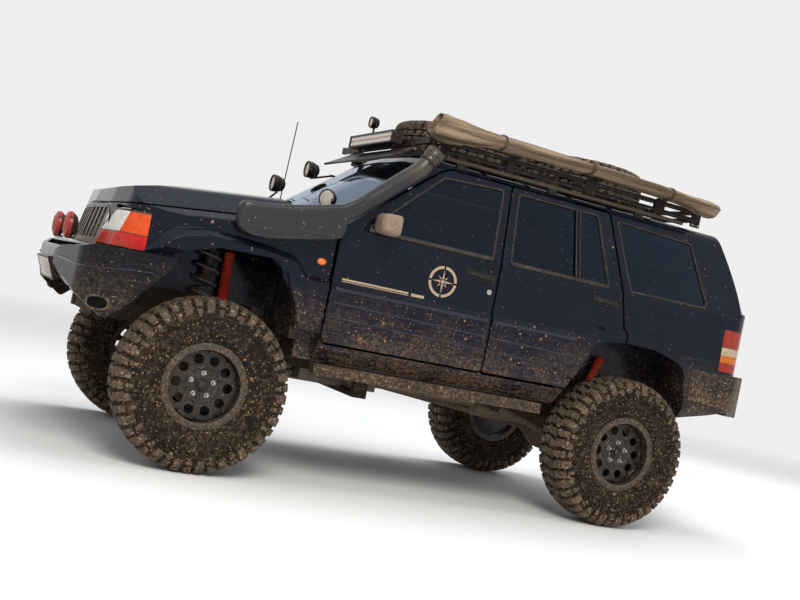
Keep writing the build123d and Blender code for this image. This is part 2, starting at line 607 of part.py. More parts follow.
front_axle = rod((0, -620, axle_z), (0, 620, axle_z), 42)
front_axle += Pos(0, -190, axle_z) * Sphere(132) & block(0, -190, axle_z, (250, 300, 260))
front_axle += rod((0, -190, axle_z), (150, -190, axle_z), 52)
tie_rod = rod((-128, -640, axle_z + 64), (-128, 640, axle_z + 64), 15)
tie_rod += block(-70, 0, axle_z + 52, (110, 60, 40))
front_axle += tie_rod
rear_axle = rod((wheelbase, -758, axle_z), (wheelbase, 758, axle_z), 44)
rear_axle += Pos(wheelbase, 0, axle_z) * Sphere(145) & block(wheelbase, 0, axle_z, (280, 280, 290))
rear_axle += rod((wheelbase - 160, 0, axle_z), (wheelbase, 0, axle_z), 56)
for side in (-1, 1):
    front_axle += block(0, side * 620, axle_z, (70, 40, 2 * yoke_half + 48))
    for lift in (-1, 1):
        front_axle += block(0, side * 656, axle_z + lift * (yoke_half + 12), (70, 112, 24))
    front_axle += block(0, side * spring_y, axle_z + 50, (2 * spring_radius, 2 * spring_radius, 30))
    front_axle += block(75, side * 488, axle_z - 20, (73.4, 40, 30))
    front_axle += block(36, side * 415, axle_z - 30, (42, 40, 40))
    rear_axle += ring_y(wheelbase, side * 742, axle_z, 140, 0, 14)
    rear_axle += block(wheelbase, side * 480, axle_z + 50, (130, 120, 30))
    rear_axle += block(aft(-129), side * 606, axle_z + 16, (223, 40, 30))
    rear_axle += block(wheelbase - 36, side * 415, axle_z - 30, (42, 40, 40))
nodes["front_axle"] = front_axle
nodes["rear_axle"] = rear_axle

rails = []
for side in (-1, 1):
    rails.append(block(-90, side * 360, up(360), (940, 80, 100)))
    rails.append(block((350 + aft(759)) / 2, side * 360, sill_z - 40, (aft(759) - 350, 80, 78)))
    rails.append(block(365, side * 360, up(320), (90, 80, 160)))
    rails.append(block(1100, side * 360, up(165), (90, 60, 130)))
    rails.append(block(668, side * 380, up(191), (42, 40, 62)))
    rails.append(block(aft(-639), side * 380, up(191), (42, 40, 62)))
under = rails[0].fuse(*rails[1:]) + block(1370, 0, sill_z - 35, (90, 720, 50)) + block(aft(-641), 0, sill_z - 40, (90, 720, 60))
under += block(1100, 0, up(115) - fit, (90, 700, 30))
under += block(aft(729), 0, sill_z - 40, (60, 720, 60)) + block(-520, 0, up(360), (60, 740, 100))
nodes["frame_rails"] = under

springs = []
shocks = []


def damper(foot, head, slim, wide, share):
    """Telescopic damper: a slim body below and a wide bellows above, on one line."""
    foot, head = Vector(foot), Vector(head)
    neck = foot + (head - foot) * share
    return rod(foot, neck, slim) + rod(neck, head, wide)


for side in (-1, 1):
    springs.append(rod((0, side * spring_y, axle_z + 65 + fit), (0, side * spring_y, spring_top - 2 - fit), spring_radius))
    springs.append(rod((wheelbase, side * 480, axle_z + 65 + fit), (wheelbase, side * 480, sill_z - fit), 60))
    front_damper = damper((136, side * 488, up(60)), (106, side * 488, up(800)), 24, 32, 0.6)
    shocks.append(front_damper + block(110, side * (house_y + 6 + fit + 30), up(780), (30, 60, 30)))
    rear_damper = damper((aft(-241), side * 606, up(130)), (aft(-73), side * 606, up(640)), 22, 30, 0.5)
    shocks.append(rear_damper + block(aft(-79), side * 589, up(620), (30, 33.4, 30)))
nodes["coil_springs"] = piece(*springs)
nodes["shock_absorbers"] = piece(*shocks)
links = []
for side in (-1, 1):
    links.append(rod((64, side * 415, up(36)), (640, side * 380, up(190)), 24))
    links.append(rod((wheelbase - 64, side * 415, up(36)), (aft(-611), side * 380, up(190)), 24))
nodes["suspension_links"] = piece(*links)
engine = block(30, 0, up(610), (680, 500, 560))
engine -= block(425, 0, up(400), (100, 520, 300))
engine += block(0, 0, up(360), (80, 640 - 2 * fit, 40))
nodes["engine"] = engine
nodes["gearbox"] = block(850, 0, up(210), (900, 300, 160))
nodes["prop_shafts"] = piece(rod((164, -190, up(80)), (386, -120, up(158)), 30), rod((1306, 0, up(192)), (wheelbase - 163, 0, up(78)), 34))
nodes["fuel_tank"] = block(aft(429), 0, sill_z - 75 - fit, (500, 600, 150))
nodes["exhaust"] = rod((1306, -110, up(185)), (2000, -230, up(185)), 28) + rod((1980, -230, up(160)), (2380, -230, up(160)), 60)
nodes["exhaust"] += block(2180, -262, up(222) - fit, (30, 40, 156))

# Cabin fittings
cabin_floor = sill_z + wall


def seat(x, y, width):
    base_block = block(x, y, cabin_floor + 90, (440, width - 60, 180))
    cushion = block(x, y, cabin_floor + 240, (520, width, 130))
    back_rest = side_prism([(x + 190, cabin_floor + 250, 30), (x + 310, cabin_floor + 250), (x + 470, cabin_floor + 900, 40),
                            (x + 350, cabin_floor + 900, 40)], y - width / 2, y + width / 2)
    return base_block + cushion + back_rest


nodes["seats"] = piece(seat(1230, -370, 520), seat(1230, 370, 520), seat(aft(-611), 0, 1090))
dash = side_prism([(560, up(560)), (700, up(560), 40), (860, up(820), 40), (800, up(1010), 60), (650, up(1050))], -770, 770)
nodes["dashboard"] = (dash & cabin_volume(wall + fit)) - block(700, 0, up(560), (600, 420, 160))
wheel_place = Pos(925, -370, up(930)) * Rot(0, -65, 0)
steering = wheel_place * (Cylinder(190, 24) - Cylinder(164, 26) + Box(340, 34, 16) + Cylinder(48, 40))
steering += rod((925, -370, up(930)), (780, -370, up(860)), 22)
nodes["steering_wheel"] = steering - nodes["dashboard"]

os.makedirs("parts", exist_ok=True)
for name, shape in nodes.items():
    export_step(Pos(-middle_x, 0, 0) * shape, f"parts/{name}.step")
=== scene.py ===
import math
import random

import bmesh
import bpy
from mathutils import Matrix, Vector, noise


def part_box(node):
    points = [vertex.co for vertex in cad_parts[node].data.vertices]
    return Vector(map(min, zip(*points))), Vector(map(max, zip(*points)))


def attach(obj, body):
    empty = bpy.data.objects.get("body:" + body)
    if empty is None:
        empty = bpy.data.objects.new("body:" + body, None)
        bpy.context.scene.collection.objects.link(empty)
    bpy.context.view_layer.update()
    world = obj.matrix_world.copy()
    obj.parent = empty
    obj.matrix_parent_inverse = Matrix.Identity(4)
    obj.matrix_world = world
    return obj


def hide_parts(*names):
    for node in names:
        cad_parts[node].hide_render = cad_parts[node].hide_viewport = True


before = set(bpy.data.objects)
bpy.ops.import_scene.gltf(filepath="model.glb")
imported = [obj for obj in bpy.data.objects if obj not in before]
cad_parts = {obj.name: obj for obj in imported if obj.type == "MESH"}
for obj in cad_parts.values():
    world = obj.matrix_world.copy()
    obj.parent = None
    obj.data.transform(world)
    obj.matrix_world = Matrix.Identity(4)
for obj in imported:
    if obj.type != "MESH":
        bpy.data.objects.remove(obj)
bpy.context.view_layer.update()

# Places, in millimetres: x back from the front axle, y to the right, z over the body's base plane
MM = 0.001
tyre_low, tyre_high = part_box("tyre_front_left")
rear_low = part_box("tyre_rear_left")[0]
axle_x = (tyre_low[0] + tyre_high[0]) / 2
tyre_radius = (tyre_high[2] - tyre_low[2]) / 2
wheelbase = (rear_low[0] - tyre_low[0]) / MM
half_track = -(tyre_low[1] + tyre_high[1]) / 2 / MM
ride_drop = 0.075
base_z = tyre_radius - ride_drop
axle_high = ride_drop / MM           # the axle over the base plane

X, Y, Z = (1, 0, 0), (0, 1, 0), (0, 0, 1)
sides = ((-1, "left"), (1, "right"))
axles = ((0, "front"), (wheelbase, "rear"))


def place(x, y, z):
    """Point in the row frame from millimetres."""
    return Vector((axle_x + x * MM, y * MM, base_z + z * MM))


def aft(length):
    """Place along X given from the rear axle."""
    return wheelbase + length


def full_turn(count):
    """Angles of a full turn in equal steps."""
    return [2 * math.pi * k / count for k in range(count)]


# Node trees
material = {}


class Graph:
    """A node tree. Values are numbers, tuples, sockets, or nodes, which stand for their first output."""

    def __init__(self, owner):
        owner.use_nodes = True
        self.tree = owner.node_tree
        self.tree.nodes.clear()

    def add(self, kind, **values):
        """A node. Names with a capital are inputs, i0 and so on are inputs by place, others are settings."""
        node = self.tree.nodes.new("ShaderNode" + kind)
        for key, value in values.items():
            by_place = key[1:].isdigit()
            if key[0].islower() and not by_place:
                setattr(node, key, value)
                continue
            socket = node.inputs[int(key[1:]) if by_place else key.replace("_", " ")]
            if isinstance(value, bpy.types.Node):
                value = value.outputs[0]
            if isinstance(value, bpy.types.NodeSocket):
                self.tree.links.new(value, socket)
            elif socket.type == "RGBA":
                socket.default_value = (*value, 1)
            else:
                socket.default_value = value
        return node

    def math(self, operation, first, second=0.0, clamp=False):
        return self.add("Math", operation=operation, use_clamp=clamp, i0=first, i1=second)

    def plus(self, first, second):
        return self.math("ADD", first, second)

    def times(self, first, second):
        return self.math("MULTIPLY", first, second)

    def less(self, first, second):
        """1 where the first is less than the second."""
        return self.math("LESS_THAN", first, second)

    def most(self, first, *others):
        """The largest of some values, 1 at most."""
        for other in others:
            first = self.math("MAXIMUM", first, other, clamp=True)
        return first

    def ramp(self, value, low, high, to_low=0.0, to_high=1.0):
        """Value mapped from low..high to to_low..to_high, clamped."""
        return self.add("MapRange", Value=value, From_Min=low, From_Max=high, To_Min=to_low, To_Max=to_high)

    def blend(self, factor, first, second, kind="MIX"):
        return self.add("Mix", data_type="RGBA", blend_type=kind, i0=factor, i6=first, i7=second).outputs[2]

    def mix(self, factor, first, second):
        return self.add("MixShader", i0=factor, i1=first, i2=second)


class Finish(Graph):
    """The node tree of a new material, with the place on the object."""

    def __init__(self, name):
        material[name] = bpy.data.materials.new(name)
        super().__init__(material[name])
        self.spot = self.add("TexCoord").outputs["Object"]
        split = self.add("SeparateXYZ", Vector=self.spot)
        self.along, self.height = split.outputs[0], split.outputs[2]

    def cloud(self, scale, detail=3.0, rough=0.55, stretch=None, warp=0.0):
        spot = self.add("Mapping", Vector=self.spot, Scale=stretch) if stretch else self.spot
        node = self.add("TexNoise", Vector=spot, Scale=scale, Detail=detail, Roughness=rough, Distortion=warp)
        return node.outputs["Fac"]

    def splashes(self, scale, size, density):
        """Round splashes of uneven size: 1 inside. density is the share of cells that hold one."""
        cell = self.add("TexVoronoi", Vector=self.spot, Scale=scale)
        pick = self.add("SeparateColor", Color=cell.outputs["Color"])
        inside = self.less(cell.outputs["Distance"], self.times(pick.outputs[1], size))
        return self.times(inside, self.less(pick, density))

    def bump(self, height, strength, depth, **under):
        """Relief with a depth in millimetres, over another normal where one is given."""
        return self.add("Bump", Height=height, Strength=strength, Distance=depth * MM, **under)

    def ribs(self, direction, scale, strength):
        """Fine ribs of a moulded lens."""
        wave = self.add("TexWave", wave_type="BANDS", bands_direction=direction, Vector=self.spot,
                        Scale=scale)
        return self.bump(wave.outputs["Fac"], strength, 1.0)

    def close(self, shader):
        self.add("OutputMaterial", Surface=shader)


mud_light = (0.30, 0.185, 0.100)
mud_dark = (0.125, 0.078, 0.047)
dry = (-2.0, -1.0)                    # heights under the ground, where the mud would be full and would end


def surface(name, colour, rough, metal=0.0, mud=(0.0, 0.4, 0.15, 0.3), second=None, grain=None, specular=0.5,
            patches=4.0, shades=(mud_light, mud_dark), cake=1.0, zone=None, edge=0.0, bands=None,
            sheen=(1, 1, 1)):
    """Finish with road dirt. mud is (height where it is full, height where it ends, film over all, splashes);
    cake is how much of it clings in patches rather than in streaks, and patches is their scale; shades are
    its light and dark colours; grain is (scale, height in millimetres) of the finish's own texture; zone is
    (colour, mask maker) for another colour in one region; edge is the radius in millimetres at which sharp
    edges catch the light; second is a colour that comes in clouds, which bands stretches; sheen is the
    reflections' colour."""
    f = Finish(name)
    full, none, film, splashes = mud
    gradient = f.ramp(f.height, none, full)
    cloud = f.cloud(patches, 5.0, 0.6)
    fine = f.cloud(55.0, 4.0, 0.65)
    streak = f.cloud(19.0, 4.0, 0.65, (0.30, 1, 3.0), 0.8)
    patchy = f.times(gradient, f.ramp(cloud, 0.34, 0.64, 0.12 * cake, 1.25 * cake))
    caked = f.times(patchy, f.ramp(fine, 0.30, 0.68, 0.25, 1.1))
    scratches = f.times(f.ramp(streak, 0.55, 0.61), f.plus(gradient, film))
    density = f.plus(f.times(gradient, 0.55), splashes)
    small = f.splashes(95.0, 0.42, density)
    large = f.splashes(34.0, 0.30, f.times(density, 0.45))
    dabs = f.times(f.most(small, large), 0.8)
    thin = f.times(f.ramp(cloud, 0.35, 0.75, 0.5, 1.5), film)
    mask = f.most(caked, thin, f.times(scratches, 0.75), dabs)
    light, dark = shades
    dirt = f.blend(f.most(f.ramp(fine, 0.42, 0.72), dabs), dark, light)
    if zone:
        other, region = zone
        colour = f.blend(region(f), colour, other)
    if second:
        colour = f.blend(f.ramp(f.cloud(9.0, 4.0, 0.55, bands), 0.38, 0.62), colour, second)
    gloss = f.ramp(f.cloud(14.0), 0.3, 0.7, rough * 0.8, min(rough * 1.25, 1.0))
    under = {}
    if edge:
        under = {"Normal": f.add("Bevel", samples=4, Radius=edge * MM)}
    if grain:
        scale, depth = grain
        under = {"Normal": f.bump(f.cloud(scale, 2.0, 0.5), 0.6, depth)}
    relief = f.bump(f.times(mask, f.ramp(fine, 0.3, 0.7)), 0.5, 1.5, **under)
    f.close(f.add("BsdfPrincipled", Base_Color=f.blend(mask, colour, dirt), Metallic=metal,
                  Roughness=f.add("Mix", data_type="FLOAT", i0=mask, i2=gloss, i3=0.92), Normal=relief,
                  Specular_IOR_Level=specular, Specular_Tint=sheen))


def glass(name, screen_tint=None):
    """Dark pane with a film of dust. Its near-black colour is partly a tint, partly painted shade of the
    cabin behind it, and a blue mirror layer is a painted sky reflection. screen_tint is the windscreen's
    colour where one node holds both.
    """
    f = Finish(name)
    # Near-black pane colour: partly a tint, partly painted shade of the cabin.
    colour, film, screen_end = (0.008, 0.012, 0.018), 0.012, 1500
    dust = f.ramp(f.cloud(6.0, 6.0, 0.65), 0.35, 0.75, 0.3 * film, 1.6 * film)
    share = f.plus(dust, f.times(f.splashes(80.0, 0.3, 0.12), 0.35))
    if screen_tint:
        colour = f.blend(f.less(f.along, place(screen_end, 0, 0).x), colour, screen_tint)
    pane = f.add("BsdfPrincipled", Base_Color=colour, Roughness=0.02, IOR=1.16, Transmission_Weight=1.0)
    # Blue mirror layer, stronger at grazing angles: a painted sky reflection.
    sky = f.add("BsdfGlossy", Color=(0.30, 0.55, 1.0), Roughness=0.03)
    facing = f.add("LayerWeight", Blend=0.5).outputs["Facing"]
    pane = f.mix(f.ramp(facing, 0.2, 0.95, 0.025, 0.16), pane, sky)
    f.close(f.mix(share, pane, f.add("BsdfDiffuse", Color=(0.26, 0.22, 0.18))))


def lens(name, colour, rough, ribs=0.0, glow=0.0):
    """Dusty lamp lens of one colour, with fine upright ribs where ribs gives their scale."""
    f = Finish(name)
    dust = f.ramp(f.cloud(8.0, 6.0, 0.65), 0.42, 0.75, 0.03, 0.45)
    share = f.most(dust, f.times(f.splashes(110.0, 0.4, 0.3), 0.6))
    darker = tuple(c * 0.72 for c in colour)
    tint = f.blend(f.ramp(f.cloud(40.0), 0.35, 0.65), colour, darker)
    relief = {"Normal": f.ribs("Y", ribs, 0.35)} if ribs else {}
    f.close(f.add("BsdfPrincipled", Base_Color=f.blend(share, tint, mud_light), Roughness=rough,
                  Emission_Color=colour, Emission_Strength=glow, **relief))


def zoned_lens(name, zones, joints_and_shade):
    """Lamp lens of zones, each a (colour, mask maker), laid over each other, then darkened under the masks
    that follow: joints, and where listed, painted shade.
    """
    f = Finish(name)
    tint = (0.74, 0.72, 0.67)
    for colour, mask in zones:
        tint = f.blend(mask(f), tint, colour)
    tint = f.blend(1.0, tint, f.ramp(f.cloud(42.0), 0.3, 0.7, 0.78, 1.1), "MULTIPLY")
    for gap in joints_and_shade:
        tint = f.blend(gap(f), tint, (0.02, 0.02, 0.02))
    dust = f.ramp(f.cloud(8.0, 6.0, 0.65), 0.42, 0.78, 0.02, 0.35)
    share = f.most(dust, f.times(f.splashes(110.0, 0.4, 0.22), 0.55))
    f.close(f.add("BsdfPrincipled", Base_Color=f.blend(share, tint, mud_light), Roughness=0.12,
                  Normal=f.ribs("DIAGONAL", 42.0, 0.25), Specular_IOR_Level=0.2))


# Mask makers: each gives a function that adds a mask to a finish and returns it

def below(z):
    """1 under a height."""
    return lambda f: f.less(f.height, place(0, 0, z).z)


def behind(x, z, lean):
    """1 behind a line through (x, z) that leans back by lean for each millimetre up."""
    def mask(f):
        foot = place(x, 0, 0).x - place(0, 0, z).z * lean
        line = f.add("Math", operation="MULTIPLY_ADD", i0=f.height, i1=lean, i2=foot)
        return f.math("GREATER_THAN", f.along, line)
    return mask


def fading(x, z, width):
    """Rises to 1 over a width, along a slope of 45 degrees up and back from (x, z)."""
    def mask(f):
        start = place(x, 0, z)
        run = f.math("SUBTRACT", f.plus(f.along, f.height), start.x + start.z)
        return f.ramp(run, 0.0, width * MM)
    return mask


def between(first, second):
    """1 where the first mask holds and the second doesn't."""
    return lambda f: f.math("SUBTRACT", first(f), second(f), clamp=True)


def slot_walls(f):
    """Mask: 1 on faces that look to the left or right, such as the walls of upright slots."""
    normal = f.add("NewGeometry").outputs["Normal"]
    across = f.add("SeparateXYZ", Vector=normal).outputs[1]
    return f.math("GREATER_THAN", f.math("ABSOLUTE", across), 0.7)


def make_paints():
    blue_black, bluer = (0.0035, 0.0045, 0.009), (0.004, 0.006, 0.014)
    plastic_black = (0.0045, 0.005, 0.007)
    blue_sheen = (0.72, 0.80, 1.0)
    surface("paint", blue_black, 0.09, mud=(0.50, 1.16, 0.014, 0.035), second=bluer, specular=0.24, cake=0.7,
            edge=7, shades=((0.36, 0.205, 0.098), (0.085, 0.052, 0.030)), sheen=blue_sheen)
    # The body paint again with stronger reflections, on the hood alone: a painted highlight on its top.
    surface("hood_paint_with_painted_highlight", blue_black, 0.12, mud=(0.50, 1.16, 0.014, 0.035), second=bluer, specular=0.34,
            cake=0.7, edge=7, sheen=blue_sheen)
    # The mouldings are bluer and glossier than the paint: partly their own dark colour, partly a painted blue
    # highlight along the creases.
    surface("moulding", (0.007, 0.010, 0.024), 0.16, mud=(0.50, 1.16, 0.020, 0.05), specular=0.45, cake=0.3,
            shades=((0.26, 0.165, 0.092), (0.060, 0.040, 0.027)))
    surface("bumper", plastic_black, 0.16, mud=(0.46, 1.10, 0.03, 0.06), specular=0.2, cake=0.7, edge=9,
            shades=((0.30, 0.19, 0.105), (0.080, 0.052, 0.034)), sheen=blue_sheen)
    surface("rear_bumper_skin", plastic_black, 0.22, mud=(0.74, 1.28, 0.03, 0.24), specular=0.2, cake=0.85,
            edge=9, shades=((0.40, 0.26, 0.15), (0.085, 0.054, 0.034)))
    surface("sand_paint", (0.46, 0.33, 0.21), 0.6, mud=(0.6, 1.05, 0.16, 0.08))
    surface("plate_white", (0.66, 0.66, 0.64), 0.5, mud=(0.6, 1.2, 0.14, 0.2))
    surface("plate_blue", (0.020, 0.060, 0.32), 0.5, mud=(0.6, 1.2, 0.14, 0.2))


def make_plastics_and_cloths():
    # black serves as painted shade: in the grille's slots and in hollows.
    black = (0.003, 0.003, 0.003)
    # The grille's slot walls, found by their facing, are black: painted shade inside the slots.
    surface("grille", (0.17, 0.17, 0.175), 0.38, mud=(0.7, 1.5, 0.08, 0.2), specular=0.3,
            zone=(black, slot_walls))
    surface("snorkel_plastic", (0.016, 0.018, 0.022), 0.30, mud=(0.4, 1.42, 0.018, 0.05), cake=0.35,
            grain=(420, 0.12), specular=0.4, zone=((0.050, 0.041, 0.032), fading(870, 1380, 190)))
    surface("lamp_black", (0.009, 0.009, 0.010), 0.35, mud=(0.7, 1.3, 0.06, 0.12), grain=(300, 0.12),
            specular=0.3)
    surface("lamp_red", (0.34, 0.012, 0.010), 0.22, mud=(0.6, 1.3, 0.07, 0.2), specular=0.35)
    # The carcass is darker rubber than the lugs and holds less dust: partly dust, partly painted light on the
    # lugs and painted shade between them.
    surface("tyre_rubber", (0.007, 0.0065, 0.006), 0.75, mud=(-2.8, 1.75, 0.05, 0.42), grain=(160, 0.5),
            patches=13.0, cake=0.7, specular=0.12, shades=((0.42, 0.255, 0.135), (0.050, 0.031, 0.019)))
    surface("tyre_lug", (0.024, 0.021, 0.019), 0.7, mud=(-1.2, 1.75, 0.26, 0.24), grain=(160, 0.5),
            patches=22.0, specular=0.25, shades=((0.52, 0.34, 0.20), (0.14, 0.088, 0.055)))
    surface("antenna_black", (0.02, 0.02, 0.02), 0.4, mud=(0.5, 1.5, 0.2, 0.1))
    surface("seal", (0.016, 0.0145, 0.0135), 0.6, mud=(0.6, 2.2, 0.13, 0.08), specular=0.25, cake=0.6,
            shades=((0.24, 0.175, 0.125), (0.105, 0.078, 0.058)))
    surface("rubber_black", (0.010, 0.010, 0.010), 0.6, mud=(0.6, 1.2, 0.03, 0.06), specular=0.3)
    surface("mirror_housing", (0.24, 0.175, 0.130), 0.75, mud=(0.9, 1.7, 0.5, 0.05), specular=0.25,
            shades=((0.42, 0.31, 0.22), (0.20, 0.14, 0.10)))
    # Flat black for openings and gaps: painted shade where there is only a hollow.
    surface("painted_hollow_shade", black, 0.9, mud=(*dry, 0.0, 0.0), specular=0.1)
    surface("cabin_plastic", (0.045, 0.045, 0.048), 0.6, mud=(*dry, 0.05, 0.0), grain=(500, 0.2))
    surface("seat_cloth", (0.060, 0.060, 0.064), 0.95, mud=(*dry, 0.02, 0.0), grain=(900, 0.3))
    # Its second colour lies in long dark bands along the roll: partly dirt, partly painted shade in its
    # creases.
    surface("canvas", (0.31, 0.228, 0.152), 0.95, mud=(*dry, 0.10, 0.02), grain=(700, 0.5), patches=6.0,
            second=(0.090, 0.062, 0.041), bands=(0.14, 3.6, 3.6), specular=0.1,
            shades=((0.34, 0.275, 0.20), (0.060, 0.046, 0.033)))
    surface("strap", (0.050, 0.040, 0.030), 0.9, mud=(*dry, 0.2, 0.02), specular=0.1)


def make_metals():
    # Mud darker than on the body: partly darker mud, partly painted shade under the car.
    surface("underbody", (0.020, 0.018, 0.016), 0.8, mud=(0.2, 1.5, 0.25, 0.3), grain=(120, 0.6), cake=0.7,
            specular=0.2, shades=((0.16, 0.10, 0.058), (0.045, 0.030, 0.020)))
    surface("rail_steel", (0.012, 0.011, 0.010), 0.6, mud=(0.4, 1.1, 0.3, 0.4), grain=(90, 0.4), cake=0.8,
            specular=0.25, shades=((0.40, 0.26, 0.15), (0.070, 0.043, 0.026)))
    rack_foot = between(below(1613), below(1589))
    surface("rack_steel", (0.006, 0.006, 0.007), 0.42, mud=(0.8, 1.9, 0.06, 0.1), grain=(260, 0.15),
            specular=0.2, zone=((0.060, 0.046, 0.034), rack_foot))
    surface("wheel_black", (0.005, 0.006, 0.009), 0.26, mud=(-4.0, 1.7, 0.03, 0.10), patches=14.0,
            specular=0.35)
    surface("bead_ring", (0.020, 0.017, 0.014), 0.6, mud=(-2.0, 1.7, 0.28, 0.4), patches=14.0,
            shades=((0.36, 0.22, 0.115), (0.085, 0.055, 0.034)))
    surface("bare_metal", (0.55, 0.54, 0.52), 0.30, metal=1.0, mud=(-1.0, 2.0, 0.12, 0.15))
    surface("spring_steel", (0.045, 0.048, 0.055), 0.45, mud=(0.2, 1.4, 0.15, 0.3))
    surface("shock_red", (0.56, 0.030, 0.010), 0.42, mud=(0.35, 1.3, 0.16, 0.25))
    surface("cast_iron", (0.040, 0.034, 0.030), 0.7, mud=(0.2, 0.9, 0.5, 0.4), grain=(140, 0.8))
    surface("cast_alloy", (0.22, 0.21, 0.20), 0.5, metal=0.6, mud=(0.3, 1.2, 0.35, 0.3), grain=(160, 0.5))
    surface("exhaust_steel", (0.20, 0.15, 0.11), 0.5, metal=0.7, mud=(0.3, 0.9, 0.35, 0.3))
    surface("mirror_glass", (0.80, 0.82, 0.84), 0.05, metal=1.0, mud=(*dry, 0.05, 0.02))
    surface("reflector", (0.85, 0.85, 0.83), 0.18, metal=1.0, mud=(*dry, 0.05, 0.02))


def make_glass_and_lenses():
    glass("window_glass")
    glass("fixed_glass", screen_tint=(0.42, 0.52, 0.58))
    red, amber = (0.54, 0.012, 0.012), (0.76, 0.066, 0.004)
    upright_gap = between(behind(-611, 777, 0.36), behind(-606, 777, 0.36))
    # Darkened over the lamp's top, above z 889: painted shade under the hood's edge; the other dark bands are
    # joints.
    zoned_lens("lamp_lens", [(amber, behind(-556, 781, 0.30)), (red, below(777))],
               [between(below(779), below(774)), upright_gap, between(below(2000), below(889))])
    tail_red, tail_amber, tail_clear = (0.34, 0.012, 0.010), (0.60, 0.150, 0.014), (0.50, 0.42, 0.29)
    zoned_lens("tail_lens", [(tail_red, below(990)), (tail_clear, below(865)), (tail_amber, below(814)),
                             (tail_red, below(763))],
               [between(below(866), below(863)), between(below(764), below(761))])
    lens("amber_lens", (0.90, 0.16, 0.010), 0.12, ribs=60.0, glow=0.12)
    lens("clear_lens", (0.62, 0.60, 0.56), 0.08)
    lens("led_amber", (0.72, 0.42, 0.17), 0.2, glow=0.1)


make_paints()
make_plastics_and_cloths()
make_metals()
make_glass_and_lenses()


class Shape:
    """Vertices and faces gathered for one piece, in metres. mark is the number of a face's finish."""

    def __init__(self):
        self.verts = []
        self.faces = []
        self.marks = []

    def put(self, verts, faces, mark=0):
        start = len(self.verts)
        self.verts += [Vector(v) for v in verts]
        self.faces += [tuple(start + i for i in face) for face in faces]
        self.marks += [mark] * len(faces)

    def mesh(self, name):
        mesh = bpy.data.meshes.new(name)
        mesh.from_pydata([tuple(v) for v in self.verts], [], self.faces)
        mesh.polygons.foreach_set("material_index", self.marks)
        work = bmesh.new()
        work.from_mesh(mesh)
        bmesh.ops.recalc_face_normals(work, faces=work.faces)
        work.to_mesh(mesh)
        work.free()
        return mesh

    def make(self, name, *finishes, body="vehicle", smooth=40, replaces="", slotted=False):
        """Object that rides on a body. Edges sharper than the angle smooth, in degrees, stay sharp."""
        mesh = self.mesh(name)
        obj = bpy.data.objects.new(name, mesh)
        bpy.context.scene.collection.objects.link(obj)
        for finish in finishes:
            mesh.materials.append(material[finish])
        if smooth:
            mesh.polygons.foreach_set("use_smooth", [True] * len(mesh.polygons))
            mesh.set_sharp_from_angle(angle=math.radians(smooth))
        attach(obj, body)
        if replaces:
            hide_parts(replaces)
        return obj

    def prism(self, outline, offset, mark=0):
        """Closed prism from an outline of points and an offset vector."""
        count = len(outline)
        verts = outline + [p + Vector(offset) for p in outline]
        faces = [tuple(range(count))[::-1], tuple(range(count, 2 * count))]
        faces += [(i, (i + 1) % count, count + (i + 1) % count, count + i) for i in range(count)]
        self.put(verts, faces, mark)

    def box(self, centre, size, turn=None, mark=0):
        """Box of (length, width, height) in millimetres about a centre in metres, turned by a matrix."""
        reach_x, reach_y, reach_z = [(-s * MM / 2, s * MM / 2) for s in size]
        verts = [Vector((x, y, z)) for x in reach_x for y in reach_y for z in reach_z]
        faces = [(0, 1, 3, 2), (4, 6, 7, 5), (0, 4, 5, 1), (2, 3, 7, 6), (0, 2, 6, 4), (1, 5, 7, 3)]
        self.put([centre + (turn @ v if turn else v) for v in verts], faces, mark)

    def rings(self, rings, closed_ends=True, loop=False, mark=0, closed=True):
        """Skin over rings of equal numbers of points. loop joins the last ring to the first."""
        count = len(rings[0])
        spans = count if closed else count - 1
        faces = []
        for j in range(len(rings) if loop else len(rings) - 1):
            a, b = j * count, ((j + 1) % len(rings)) * count
            faces += [(a + i, a + (i + 1) % count, b + (i + 1) % count, b + i) for i in range(spans)]
        if closed_ends and not loop:
            faces += [tuple(range(count))[::-1], tuple(range((len(rings) - 1) * count, len(rings) * count))]
        self.put([p for ring in rings for p in ring], faces, mark)

    def tube(self, path, radius, count=12, mark=0, squash=1.0, loop=False):
        """Round bar along points in metres; radius in millimetres, one for all or one a point."""
        radii = radius if isinstance(radius, list) else [radius] * len(path)
        rings = []
        normal = None
        for i, point in enumerate(path):
            ahead = path[(i + 1) % len(path)] if loop else path[min(i + 1, len(path) - 1)]
            before = path[i - 1] if loop else path[max(i - 1, 0)]
            along = (ahead - before).normalized()
            if normal is None:
                normal = along.orthogonal().normalized()
            normal = (normal - along * normal.dot(along)).normalized()
            cross = along.cross(normal) * squash
            r = radii[i] * MM
            rings.append([point + normal * (r * math.cos(a)) + cross * (r * math.sin(a))
                          for a in full_turn(count)])
        self.rings(rings, loop=loop, mark=mark)

    def revolve(self, centre, axis, profile, segments=48, mark=0, closed=True):
        """Profile of (radius, distance along the axis) in millimetres turned about an axis."""
        axis = Vector(axis).normalized()
        side = axis.orthogonal().normalized()
        other = axis.cross(side)
        rings = []
        for a in full_turn(segments):
            out = side * math.cos(a) + other * math.sin(a)
            rings.append([centre + out * (r * MM) + axis * (d * MM) for r, d in profile])
        self.rings(rings, loop=True, mark=mark, closed=closed)


def superellipse(centre, first, second, half_first, half_second, power, count=28):
    """Rounded loop of points about a centre, in the plane of two directions."""
    loop = []
    for a in full_turn(count):
        c, s = math.cos(a), math.sin(a)
        u = math.copysign(abs(c) ** (2 / power), c) * half_first
        v = math.copysign(abs(s) ** (2 / power), s) * half_second
        loop.append(centre + Vector(first) * (u * MM) + Vector(second) * (v * MM))
    return loop


